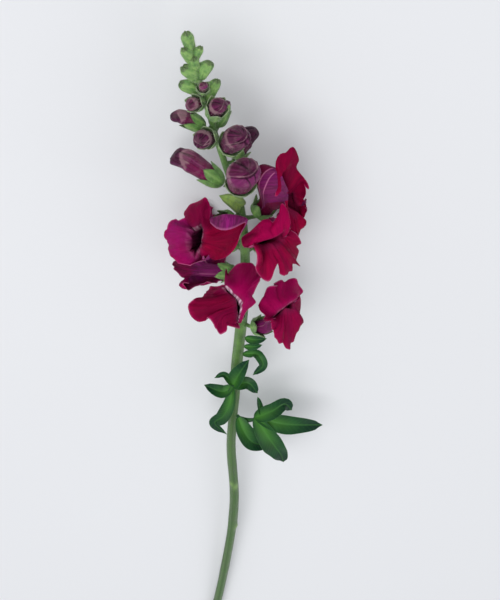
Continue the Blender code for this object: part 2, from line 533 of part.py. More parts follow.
# Coloured buds: name, height, azimuth, ascend, roll, pedicel length, length, radius, share in the calyx.
BUDS = (
    ("front", 109, 56, 49, 0, 2.0, 27.0, 8.6, 0.3),
    ("left", 107, 208, 42, 0, 2.0, 31.0, 5.8, 0.38),
    ("back_high", 121, 338, 42, 0, 2.0, 18.5, 5.2, 0.36),
    ("front_high", 132, 44, 41, 0, 2.0, 20.0, 6.7, 0.32),
    ("left_dark", 139.5, 111, 33, 0, 1.5, 14.0, 4.8, 0.58),
    ("right_back", 141, 297, 30, 0, 1.5, 15.0, 3.6, 0.72),
    ("left_high", 144, 172, 48, 0, 1.5, 18.0, 3.7, 0.6),
    ("right_high", 151, 55, 46, 0, 1.5, 18.0, 4.3, 0.72),
    ("left_top", 159.2, 117, 31, 0, 1.4, 11.0, 3.3, 0.64),
    ("top_pink", 164.7, 65, 52, 0, 1.4, 8.0, 2.2, 0.55),
)
# Green buds of the tip: height, azimuth, ascend, length, radius.
GREEN_BUDS = (
    (158.6, 348, 54, 12.0, 3.5),
    (163.7, 181, 50, 11.0, 3.8),
    (170.3, 100, 80, 8.0, 2.7),
    (171.1, 359, 50, 10.5, 3.7),
    (172.0, 134, 68, 10.5, 3.8),
    (171.0, 262, 50, 10.0, 3.2),
    (175.7, 62, 77, 9.0, 3.0),
    (180.6, 359, 59, 8.5, 2.6),
    (180.8, 118, 78, 9.5, 3.1),
    (183.0, 275, 60, 8.5, 2.5),
    (187.5, 92, 80, 10.5, 3.2),
)
# Half the width of a bud at its base, for its full radius.
BUD_BASE_SHARE = 0.85
BUD_COLUMNS = 12
BUD_SHARES = (0.0, 0.05, 0.25, 0.5, 0.72, 0.9, 0.98, 1.0)
BLUNT_SHARES = (0.0, 0.05, 0.25, 0.5, 0.75, 0.92, 0.975, 1.0)
# How far along a bud its blunt end begins, where it isn't at 0.66.
BUD_BLUNT = {"left": 0.92, "back_high": 0.72, "left_high": 0.78}
GREEN_COLUMNS = 8
GREEN_SHARES = (0.0, 0.12, 0.4, 0.7, 0.9, 1.0)

# Leaves: name, width, how far the halves fold up, the side the upper face looks to, centre line points.
LEAVES = (
    ("bract_low", 5.5, 0.35, (0, 0.6, 0.8), ((-3.0, -4.2, 2.8), (2.8, -2.6, 6.0), (10.0, 0.5, 8.0))),
    ("bract_small", 4.2, 0.3, (0, 0.6, 0.8), ((-3.7, -11.2, 2.9), (1.8, -9.6, 5.0), (7.4, -6.4, 6.5))),
    ("bract_high", 8.5, 0.8, (0.1, 0.5, 0.85), ((-4.9, 95.2, 2.85), (-9.3, 103.2, 8.0), (-16.2, 108.6, 11.0))),
    ("leaf_curled", 6.0, 0.3, (0.2, 0.8, 0.6),
     ((-4.5, -18.0, 3.1), (2.6, -12.6, 8.0), (5.8, -11.4, 12.0), (7.8, -17.1, 14.0), (1.8, -27.3, 12.0))),
)
# Two leafy side shoots: name, where the leaves grow together, and each leaf as above.
SHOOTS = (
    ("shoot_left", (-10.7, -44.0, 5.1), (
        (10.0, 0.6, (-0.35, 0.5, 0.8), ((-10.8, -44.1, 5.4), (-6.6, -29.0, 9.0), (-0.6, -15.4, 10.4))),
        (4.8, 0.4, (0, 0.8, 0.6), ((-10.6, -43.5, 5.2), (-16.3, -31.4, 8.0), (-22.3, -32.0, 10.0))),
        (8.5, 0.45, (0, 0.8, 0.6), ((-10.7, -44.5, 5.2), (-17.9, -48.4, 6.6), (-29.0, -40.6, 8.0))),
        (8.0, 0.5, (0, 0.7, 0.7), ((-10.9, -44.5, 5.2), (-1.3, -38.8, 8.0), (4.8, -47.1, 9.0))),
        (9.0, 0.5, (-0.3, 0.4, 0.9),
         ((-10.9, -43.8, 5.4), (-12.8, -56.0, 9.0), (-17.6, -70.4, 8.0), (-23.2, -79.6, 6.0),
          (-15.6, -91.2, 6.0))),
    )),
    ("shoot_right", (-8.0, -75.0, 4.0), (
        (12.0, 0.5, (0.3, 0.6, 0.8),
         ((-8.0, -75.0, 4.4), (-4.0, -84.2, 9.0), (1.8, -94.4, 10.0), (11.9, -103.5, 6.0))),
        (14.5, 0.5, (-0.1, 0.6, 0.8),
         ((3.3, -73.8, 5.0), (11.0, -87.5, 9.0), (17.0, -101.0, 8.5), (21.4, -113.0, 6.0), (23.2, -122.5, 4.5))),
        (12.5, 0.45, (0, 0.6, 0.8), ((4.0, -75.9, 4.4), (23.9, -80.7, 6.0), (48.6, -86.3, 2.0))),
        (10.5, 0.5, (0, 0.7, 0.7),
         ((3.3, -75.6, 5.0), (14.2, -63.2, 10.0), (22.1, -56.4, 10.0), (27.2, -64.5, 8.0))),
        (4.6, 0.3, (0.5, 0.5, 0.7), ((7.8, -72.8, 5.5), (4.9, -54.1, 6.0))),
        (3.4, 0.3, (0, 0.3, 1), ((-8.0, -75.2, 4.0), (-2.0, -77.9, 4.6), (6.4, -75.8, 5.2))),
    )),
)
SHOOT_KNOB_RADIUS = 1.3
LEAF_ROWS = 7
LEAF_ACROSS = 5

CALYX_COLUMNS = 10
# The calyces that show most have a rounder outline.
ROUNDED_CALYCES = (
    "calyx_right_low", "calyx_right_mid", "calyx_right_high", "bud_calyx_front", "bud_calyx_left",
    "bud_calyx_front_high", "bud_calyx_left_dark",
)
CALYX_SHARES = (0.0, 0.14, 0.55, 1.0)


def bud_radius(share, radius, blunt=0.62):
    """Radius of a closed bud at a share of its length, whose end is rounded from the blunt share on."""
    share = np.asarray(share, float)
    body = (1 - (1 - np.clip(share / 0.24, 0, 1)) ** 2) ** 0.5 * (0.74 + 0.26 * smoothstep(share / 0.75))
    end = np.sqrt(np.clip(1 - np.clip((share - blunt) / (1 - blunt), 0, 1) ** 2.3, 0, 1))
    return radius * body * end


def bud_points(length, radius, columns, shares, blunt=0.62):
    """The face of a closed bud: an egg whose upper lip is folded down like a hood over the lower."""
    angle = np.linspace(0, 2 * np.pi, columns, endpoint=False)
    rows = []
    for share in shares:
        around = float(bud_radius(share, radius, blunt))
        under = smoothstep((-np.sin(angle) - 0.15) / 0.3) * smoothstep((share - 0.45) / 0.2)
        around = around * (1 - 0.14 * under) * (1 + 0.04 * np.cos(2 * angle))
        droop = -0.12 * length * smoothstep((share - 0.5) / 0.5) ** 2
        rows.append(
            np.stack(
                [length * share + 0 * angle, around * np.cos(angle), around * np.sin(angle) + droop], 1
            )
        )
    return np.array(rows)


def calyx_points(profile, reach, sepal, open_by, columns, shares):
    """The inner face of a calyx: a cup round the base of a corolla, ending in five pointed sepals.

    The profile gives the corolla's radius at a distance from its base, so that the cup clears it all
    along. Every other column ends in the notch between two sepals.
    """
    angle = np.linspace(0, 2 * np.pi, columns, endpoint=False) + np.pi / 2
    in_sepal = np.abs(((angle - np.pi / 2) * 5 / (2 * np.pi) + 0.5) % 1 - 0.5) * 2
    ends = reach + sepal * (1 - in_sepal) ** 0.65
    rows = []
    for share in shares:
        x = -CALYX_GAP + (ends + CALYX_GAP) * share
        wide = profile(np.maximum(x, 0) + 0.25) / math.cos(math.pi / columns) + CALYX_GAP
        wide = wide * (1.0 if share > 0 else 0.0) + open_by * smoothstep((share - 0.4) / 0.6) * (
            1 - 0.6 * in_sepal
        )
        rows.append(np.stack([x, wide * np.cos(angle), wide * np.sin(angle)], 1))
    return np.array(rows)


def leaf_points(width, fold, facing, line, rows, across):
    """The middle surface of a leaf along its line, as rows of points from one edge to the other.

    It is widest a third of the way up and narrows to its stalk and its tip. Its two halves fold up
    from the rib, and its upper face looks to the facing direction.
    """
    points = np.asarray(line, float)
    sampled = catmull_rom(np.hstack([points, np.zeros((len(points), 1))]), 1.0)[:, :3]
    steps = np.concatenate([[0], np.cumsum(np.linalg.norm(np.diff(sampled, axis=0), axis=1))])
    share = np.linspace(0, 1, rows)
    centre = np.stack([np.interp(share * steps[-1], steps, sampled[:, k]) for k in range(3)], 1)
    ahead = np.gradient(centre, axis=0)
    ahead /= np.linalg.norm(ahead, axis=1)[:, None]
    facing = np.asarray(facing, float) / np.linalg.norm(facing)
    sideways = np.cross(ahead, facing)
    sideways /= np.linalg.norm(sideways, axis=1)[:, None]
    normal = np.cross(sideways, ahead)
    half = width / 2 * (0.14 + 0.86 * np.sin(np.pi * share**0.8) ** 0.75)
    half = np.where(share > 0.97, 0.45, half)
    place = np.linspace(-1, 1, across)
    made = centre[:, None, :] + sideways[:, None, :] * (half[:, None] * place)[:, :, None]
    return made + normal[:, None, :] * (fold * half[:, None] * np.abs(place) ** 1.3)[:, :, None]


def on_disk(angle, run):
    """Places on a flower unrolled as a disk: its tube inside the throat's circle, its lips outside."""
    out = MARK_THROAT * (1 + run) + np.clip(run, 0, None) * (1 - 2 * MARK_THROAT)
    return np.stack([out * np.cos(angle), out * np.sin(angle)], -1)


def moves_to_marks(fine, marks, columns, tube_shares, lip_rows):
    """How each point of a petal sheet has to move for the marked points of a finer sheet to lie where
    the marks say.

    Each mark's move spreads over the unrolled flower and falls off as (1 + q) e^-q, where q is 1.73
    times the distance over the reach. The weights are solved so that all marks are met at once and
    points round the tube's base stay, and the last of the move fades out towards that base."""
    angle = lobe_grid(MARK_COLUMNS, (1,) * 5)[0]
    run = np.concatenate([np.array(MARK_SHARES) - 1, (np.arange(MARK_ROWS) + 1) / MARK_ROWS])
    lobe, across, reached, *target = np.array(marks, float).T
    column = (lobe * MARK_COLUMNS + np.round((across + 1) / 2 * MARK_COLUMNS)).astype(int) % len(angle)
    row = np.abs(run[:, None] - reached).argmin(0)
    kept = np.arange(0, len(angle), 13)
    at = np.concatenate([on_disk(angle[column], run[row]), on_disk(angle[kept], np.full(len(kept), -0.8))])
    moves = np.concatenate([np.stack(target, 1) - fine[row, column], np.zeros((len(kept), 3))])

    def felt(places, others):
        q = np.sqrt(3) * np.linalg.norm(places[..., None, :] - others, axis=-1) / MARK_REACH
        return (1 + q) * np.exp(-q)

    weights = np.linalg.solve(felt(at, at) + 1e-3 * np.eye(len(at)), moves)
    angle = lobe_grid(columns, (1,) * 5)[0]
    run = np.concatenate([np.array(tube_shares) - 1, (np.arange(lip_rows) + 1) / lip_rows])
    spread = felt(on_disk(angle[None, :], run[:, None]), at) @ weights
    return spread * smoothstep((run + 0.7) / 0.45)[:, None, None]


def calyx_object(name, origin, axes, profile, reach, sepal, open_by, spike):
    columns = 2 * CALYX_COLUMNS if name in ROUNDED_CALYCES else CALYX_COLUMNS
    points = calyx_points(profile, reach, sepal, open_by, columns, CALYX_SHARES)
    calyx = grid_object(name, placed(points, origin, axes), True, spike)
    face_away(calyx, placed(np.array([reach * 0.5, 0, 0]), origin, axes))
    thicken(calyx, SEPAL_THICK, 1)
    return calyx


def make_floret(row, seed, spike, crimson, green):
    name, y, azimuth, ascend, roll, pedicel, scale, changes = row
    shape = corolla_shape(seed, **changes)
    origin, axes = frame_on_stem(y, azimuth, ascend, roll, pedicel, CALYX_HALF * scale)
    columns, tube_shares = BACK_LOBE_COLUMNS, TUBE_SHARES
    if name in PETAL_MARKS:
        columns, tube_shares = LOBE_COLUMNS, MARKED_TUBE_SHARES
        shape["merged"] = 1.0
        shape["palate"] *= MARKED_PALATE.get(name, 0.0)
    points = placed(corolla_points(shape, columns, tube_shares, LIP_ROWS) * scale, origin, axes)
    if name in PETAL_MARKS:
        fine = placed(corolla_points(shape, MARK_COLUMNS, MARK_SHARES, MARK_ROWS) * scale, origin, axes)
        points = points + moves_to_marks(fine, PETAL_MARKS[name], columns, tube_shares, LIP_ROWS)
    points = pressed(points, PRESSED_HEIGHT)
    corolla = grid_object("corolla_" + name, points, True, spike)
    face_away(corolla, placed(np.array([4.0, 0, 0]) * scale, origin, axes))
    thicken(corolla, PETAL_THICK, -1)
    corolla.data.materials.append(crimson)

    def profile(x):
        share = x / (TUBE_LENGTH * shape["tube"] * scale)
        return (tube_radius(share) + 0.6 * TUBE_POUCH) * scale * np.clip(share / 0.05, 0, 1) ** 0.5

    calyx = calyx_object(
        "calyx_" + name, origin, axes, profile, CALYX_DEPTH, SEPAL_LENGTH, 0.9, spike
    )
    calyx.data.materials.append(green)


def make_bud(row, spike, plum, green):
    name, y, azimuth, ascend, roll, pedicel, length, radius, share = row
    origin, axes = frame_on_stem(y, azimuth, ascend, roll, pedicel, BUD_BASE_SHARE * radius)
    blunt = BUD_BLUNT.get(name, 0.66)
    points = bud_points(length, radius, BUD_COLUMNS, BLUNT_SHARES if blunt > 0.75 else BUD_SHARES, blunt)
    bud = grid_object("bud_" + name, placed(points, origin, axes), True, spike)
    face_away(bud, placed(np.array([length * 0.5, 0, 0]), origin, axes))
    bud.data.materials.append(plum)

    def profile(x):
        return bud_radius(x / length, radius, blunt)

    calyx = calyx_object(
        "bud_calyx_" + name, origin, axes, profile, length * share * 0.52, length * share * 0.48, 0.15,
        spike,
    )
    calyx.data.materials.append(green)


def make_leaf(name, width, fold, facing, line, collection):
    points = leaf_points(width, fold, facing, line, LEAF_ROWS, LEAF_ACROSS)
    leaf = grid_object(name, points, False, collection)
    thicken(leaf, LEAF_THICK, 0)
    return leaf


def make_stem(spike, green):
    """The stem with the short stalks of its florets and buds grown on to it."""
    stem = tube_object("stem", STEM[:, :3], STEM[:, 3], spike, STEM_BEVEL_RESOLUTION)
    stalks = bpy.data.collections.new("stalks")
    spike.children.link(stalks)
    rows = [(r[1], r[2], r[3], r[5], CALYX_HALF * r[6], PEDICEL_RADIUS) for r in FLORETS]
    rows += [(r[1], r[2], r[3], r[5], BUD_BASE_SHARE * r[7], PEDICEL_RADIUS * 0.8) for r in BUDS]
    for k, (y, azimuth, ascend, pedicel, half, radius) in enumerate(rows):
        origin, axes = frame_on_stem(y, azimuth, ascend, 0, pedicel, half)
        end = origin - axes[0] * (CALYX_GAP + SEPAL_THICK + PEDICEL_GAP)
        bend = end - axes[0] * 1.2
        centre = stem_at(y)[0]
        start = centre + (bend - centre) * 0.15
        tube_object(f"stalk_{k}", [start, bend, end], [radius, radius, radius * 1.1], stalks, 1)
    for k, (y, azimuth, ascend, length, radius) in enumerate(GREEN_BUDS):
        origin, axes = frame_on_stem(y, azimuth, ascend, 0, -0.8, 0.0)
        points = bud_points(length, radius, GREEN_COLUMNS, GREEN_SHARES)
        bud = grid_object(f"green_{k}", placed(points, origin, axes), True, stalks)
        face_away(bud, placed(np.array([length * 0.5, 0, 0]), origin, axes))
    fuse(stem, stalks)
    stem.data.materials.clear()
    stem.data.materials.append(green)


def make_shoot(name, centre, leaves, spike):
    """Leaves grown together on a small round knob, which nearly touches the stem."""
    grown = bpy.data.collections.new(name + "_leaves")
    spike.children.link(grown)
    for k, leaf in enumerate(leaves):
        baked(make_leaf(f"{name}_{k}", *leaf, grown))
    r = SHOOT_KNOB_RADIUS
    ends = np.array(centre) + np.array([[0, 0, -r], [0, 0, -r * 0.5], [0, 0, r * 0.5], [0, 0, r]])
    shoot = tube_object(name, ends, [r * 0.5, r, r, r * 0.5], spike, 1)
    fuse(shoot, grown)
    shoot.data.materials.clear()
    return shoot


def clear_scene():
    for obj in list(bpy.data.objects):
        bpy.data.objects.remove(obj)


def main():
    clear_scene()
    spike = bpy.data.collections.new("snapdragon_spike")
    bpy.context.scene.collection.children.link(spike)
    stem_green = material("stem_green", (0.12, 0.22, 0.05), 0.5)
    calyx_green = material("calyx_green", (0.11, 0.25, 0.05), 0.5)
    leaf_green = material("leaf_green", (0.03, 0.13, 0.045), 0.45)
    crimson = material("petal_crimson", (0.27, 0.002, 0.03), 0.6)
    plum = material("bud_plum", (0.11, 0.008, 0.06), 0.5)
    make_stem(spike, stem_green)
    for seed, row in enumerate(FLORETS):
        make_floret(row, seed, spike, crimson, calyx_green)
    for row in BUDS:
        make_bud(row, spike, plum, calyx_green)
    for row in LEAVES:
        make_leaf(*row, spike).data.materials.append(leaf_green)
    for name, centre, leaves in SHOOTS:
        make_shoot(name, centre, leaves, spike).data.materials.append(leaf_green)
    bpy.context.view_layer.update()
    for obj in spike.objects:
        lay_down(baked(obj))


if __name__ == "__main__":
    main()
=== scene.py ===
"""Looks for a cut snapdragon flower spike that lies on its back.

The spike is drawn in its growing frame, in millimetres: X to the right, Y up the stem to the tip and
Z out of its front. lay() turns it the way it lies on the floor and gives metres.
"""

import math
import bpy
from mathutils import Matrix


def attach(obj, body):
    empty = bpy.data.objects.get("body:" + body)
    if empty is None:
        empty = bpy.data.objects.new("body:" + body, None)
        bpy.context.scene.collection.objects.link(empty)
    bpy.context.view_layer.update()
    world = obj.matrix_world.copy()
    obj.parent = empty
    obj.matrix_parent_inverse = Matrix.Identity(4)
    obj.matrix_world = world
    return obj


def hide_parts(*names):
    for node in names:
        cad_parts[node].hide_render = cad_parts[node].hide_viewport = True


bl_info = {
    "name": "Snapdragon spike looks",
    "version": (1, 0, 0),
    "blender": (4, 5, 0),
    "location": "View3D > Sidebar > Snapdragon",
    "description": "Petals, buds, calyces, leaves, stem and hairs of a snapdragon spike",
    "category": "Add Mesh",
}

import bpy
import numpy as np
from mathutils import Matrix, Vector

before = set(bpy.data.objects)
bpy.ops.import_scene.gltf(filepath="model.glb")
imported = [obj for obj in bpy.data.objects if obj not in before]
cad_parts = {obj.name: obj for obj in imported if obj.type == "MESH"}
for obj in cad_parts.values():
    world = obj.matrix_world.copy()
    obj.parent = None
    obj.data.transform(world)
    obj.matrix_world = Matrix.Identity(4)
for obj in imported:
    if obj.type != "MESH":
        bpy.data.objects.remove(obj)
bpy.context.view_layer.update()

MM = 0.001

# How the spike lies: turned about X, then about Y, then moved.
LAY_PITCH_DEG = 3.83
LAY_ROLL_DEG = 0.36
LAY_OFFSET = np.array((-1.27, 74.83, 26.28))
# Petals that would reach below the floor lie flat on it, this far up.
FLOOR_CLEAR = 0.3

# The camera in the growing frame, in metres: where it stands, how far it looks down the stem, its lens.
CAMERA_PLACE = (0.0, 0.40286, 0.42)
CAMERA_TILT_DEG = 42.0
CAMERA_LENS = 57.06
CAMERA_SENSOR = 36.0
CAMERA_CLIP = (0.01, 50)

# Stem: x, y, z of its centre line and its radius, from the cut end to the tip.
STEM_ROUTE = (
    (-32.5, -346.0, 0.0, 3.4),
    (-23.5, -287.0, 0.0, 3.3),
    (-15.5, -224.0, 0.0, 3.25),
    (-12.5, -191.0, 0.0, 3.3),
    (-11.5, -160.0, 0.0, 3.25),
    (-13.0, -115.0, 0.0, 3.1),
    (-12.0, -89.0, 0.0, 3.0),
    (-10.0, -60.0, 0.0, 3.1),
    (-8.5, -32.0, 0.0, 3.45),
    (-6.5, -8.0, 0.0, 3.4),
    (-4.5, 15.0, 0.0, 3.2),
    (-3.0, 40.0, 0.0, 2.9),
    (-3.0, 65.0, 0.0, 2.6),
    (-5.5, 94.0, 0.0, 2.2),
    (-10.0, 110.0, 0.0, 1.95),
    (-15.5, 130.0, 0.0, 1.6),
    (-20.5, 150.0, 0.0, 1.3),
    (-25.0, 168.0, 0.0, 1.1),
    (-28.3, 181.0, 0.0, 0.9),
    (-29.0, 188.0, 0.0, 0.6),
)
STEM_COLUMNS = 40
# Places where a leaf once sat: height, azimuth, how far the scar stands out and its half height.
STEM_SCARS = ((-153.0, 60.0, 0.35, 3.2), (-150.0, 128.0, 0.25, 2.4), (-203.0, 20.0, 0.75, 3.0))

# A full-size corolla: tube length, tube radius at the base and at the throat.
TUBE_LENGTH = 20.0
TUBE_BASE_RADIUS = 2.9
TUBE_THROAT_RADIUS = 5.6
TUBE_POUCH = 1.2
# Where the five lobes start and end round the mouth, in degrees: two above, three below.
LOBE_EDGES_DEG = (18.0, 90.0, 162.0, 242.0, 298.0, 378.0)
# How long the lip is, from the throat to the margin, at each of those edges and at each lobe's middle.
LOBE_EDGE_LENGTHS = (8.5, 17.0, 8.5, 15.5, 15.5, 8.5)
LOBE_TIP_LENGTHS = (22.0, 22.0, 19.5, 20.5, 19.5)
PALATE_LENGTH = 9.0
# The gap that the lifted palate leaves below the upper lip, and how far it swells forwards.
MOUTH_GAP = 1.3
PALATE_SWELL = 2.4
LOBE_COLUMNS = 26
TUBE_ROWS = 16
LIP_ROWS = 44
# Steps of the lip's curve in each of its rows.
LIP_PARTS = 3
# How far the lips turn outwards where they leave the throat, and how far their very edge rolls.
THROAT_FLARE_DEG = 12
EDGE_ROLL_DEG = 26
# Depth of the lips' broad waves and of each lobe's hollow, in millimetres, and how much of the hollow
# is left where two lobes of one lip meet.
LIP_WAVE = 2.0
LOBE_CUP = 2.6
CUP_WITHIN = 0.3
MARGIN_WIDTH = 3.2

# Calyx of a floret: half its width, its gap to the corolla, and how deep its cup is.
CALYX_HALF = 4.4
CALYX_GAP = 0.75
CALYX_DEPTH = 3.4
CALYX_ROWS = 26
CALYX_COLUMNS = 80
SEPAL_LENGTH = 4.8
SEPAL_THICK = 0.7
# How much of the length of a bud's calyx is its cup. The rest is sepals.
CUP_SHARE = 0.52
PEDICEL_RADIUS = 1.15
PEDICEL_GAP = 0.07
# The slanted cut reaches this far up the stem, and side veins leave a leaf's rib this far apart.
CUT_REACH = 6.0
VEIN_STEP = 3.4

BUD_ROWS = 120
BUD_COLUMNS = 132
GREEN_BUD_ROWS = 34
GREEN_BUD_COLUMNS = 60
# How far the end of a bud hangs, as a share of its length.
TIP_DROOP = 0.12

# Hairs of each kind of piece: how many, and how long.
STEM_HAIRS = (2200, 0.55)
TIP_HAIRS = (260, 0.6)
STALK_HAIRS = (60, 0.6)
CALYX_HAIRS = (420, 0.6)
BUD_HAIRS = (260, 0.4)
USUAL_HAIR = 0.7
HAIR_RADIUS = 0.055
HAIR_SUNK = 0.08
# The stem has hairs above this height.
HAIRS_FROM = 60

# Where the random draws of each kind of piece start.
FINE_SEED = 100
BUD_SEED = 300
LEAF_SEED = 500
CALYX_SEED = 700
GREEN_BUD_SEED = 900
BUD_CALYX_SEED = 20
SHOOT_SEED = 20
HAIR_SEED = 40

# The stage, in metres. Lights: name, place, width, the setting with the power, and where it aims.
FLOOR_HALF = 6.0
LIGHTS = (
    ("key_light", (-0.85, 0.9, 2.5), 3.0, "key_power", (0, 0.05, 0)),
    ("fill_light", (1.6, -0.8, 1.8), 2.0, "fill_power", (0, 0, 0)),
)
SKY_COLOUR = (0.93, 0.95, 1.0, 1.0)

# How a floret is shaped and coloured unless its own row says something else:
# closed, how far the palate shuts the mouth; merged, how much of the notches within a lip is filled;
# pleats, dents and frill, how deep its folds, the bays of its margin and the waves of its edge are;
# hue, how pale the throat is, how plum the outer face is, and how far it keeps clear of crimson;
# dark, how much darker each lobe's inner face is, or lighter where it is below 0: painted shade and painted
# highlight.
FLORET_DEFAULTS = dict(
    closed=1.0, merged=0.55, pleats=0.8, dents=0.09, frill=1.0,
    hue=(0.0, 0.3, 0.0), dark=(0, 0, 0, 0, 0), two_toned=False,
)
# Open florets: name, height on the stem, azimuth, ascend, roll, pedicel length, scale and shape: how
# long its tube and lips are, with 1 for full size, flare and curl of its upper and lower lip in
# degrees, and for each of the five lobes how long it is and how magenta its inner face is, that
# magenta being partly the petal's own hue and partly painted sheen of light glancing off the velvet.
FLORETS = (
    ("right_low", 6, 33, 36, -8, 4.5, 1.08, dict(
        tube=1.15, lip=1.01, flare=(88, 104), curl=(15, 87), lobes=(0.96, 0.99, 1.15, 0.86, 1.05),
        closed=0.0, merged=1.0, pleats=0.3, dents=0.03, hue=(0.15, 0.35, 0.1),
        dark=(-0.4, -0.4, 0, 0, 0), magenta=(0.45, 0.45, 0.25, 0.2, 0.25),
    )),
    ("left_low", 16, 113, 58, -41, 4.5, 1.02, dict(
        tube=1.1, lip=0.92, flare=(59, 45), curl=(53, 31), lobes=(0.72, 1.04, 0.76, 1.14, 1.18),
        closed=0.2, merged=1.0, pleats=0.3, dents=0.04, hue=(1.0, 0.2, 0.15),
        dark=(-0.45, -0.45, 0.35, 0.3, 0.3), magenta=(0.6, 0.6, 0.3, 0.15, 0.25),
    )),
    ("left_mid", 44, 209, -18, -13, 4.5, 0.85, dict(
        tube=1.03, lip=1.09, flare=(57, 115), curl=(0, 78), lobes=(0.95, 0.81, 0.89, 1.2, 0.99),
        closed=0.6, merged=1.0, pleats=0.4, dents=0.04, hue=(0.2, 0.4, 0.0),
        magenta=(0.6, 0.5, 0.5, 0.5, 0.5),
    )),
    ("right_mid", 76, 47, 5, 5, 4.5, 0.86, dict(
        tube=0.9, lip=0.94, flare=(90, 70), curl=(58, 51), lobes=(1.0, 1.27, 0.91, 0.89, 1.16),
        closed=0.0, merged=1.0, pleats=0.35, dents=0.04, frill=0.7,
        dark=(-0.4, -0.4, 0, -0.1, 0), magenta=(0.1, 0.1, 0.1, 0.1, 0.1),
    )),
    ("back_right", 61, 319, 3, -9, 4.5, 0.9, dict(
        tube=0.98, lip=0.88, flare=(35, 114), curl=(53, 75), lobes=(1.01, 0.96, 1.03, 0.99, 1.0),
        magenta=(0.1, 0.1, 0.1, 0.1, 0.1),
    )),
    ("left_high", 89, 134, 12, -49, 4.5, 1.1, dict(
        tube=1.1, lip=0.86, flare=(100, 45), curl=(72, 13), lobes=(1.34, 0.91, 0.74, 0.74, 0.78),
        closed=0.0, merged=1.0, pleats=0.1, dents=0.0, frill=0.4, hue=(0.35, 0.0, 1.0),
        dark=(0.1, 0.45, 0, -0.15, -0.15), magenta=(0.05, 0.3, 0.9, 1.0, 0.8),
    )),
    ("back_left", 62, 224, 2, -3, 4.5, 0.85, dict(
        tube=1.03, lip=0.89, flare=(35, 46), curl=(42, 46), lobes=(0.96, 0.82, 1.05, 0.98, 1.04),
        magenta=(0.3, 0.3, 0.3, 0.3, 0.3),
    )),
    ("right_high", 85, 5, 48, -18, 4.5, 1.14, dict(
        tube=0.96, lip=0.91, flare=(100, 111), curl=(90, 89), lobes=(0.94, 1.23, 1.02, 0.73, 1.05),
        closed=0.0, merged=1.0, pleats=0.15, dents=0.0, frill=0.4, hue=(0.0, 0.55, 0.0),
        two_toned=True, dark=(0.2, 0.2, 0, 0, 0), magenta=(0.12, 0.12, 0.1, 0.05, 0.05),
    )),
)

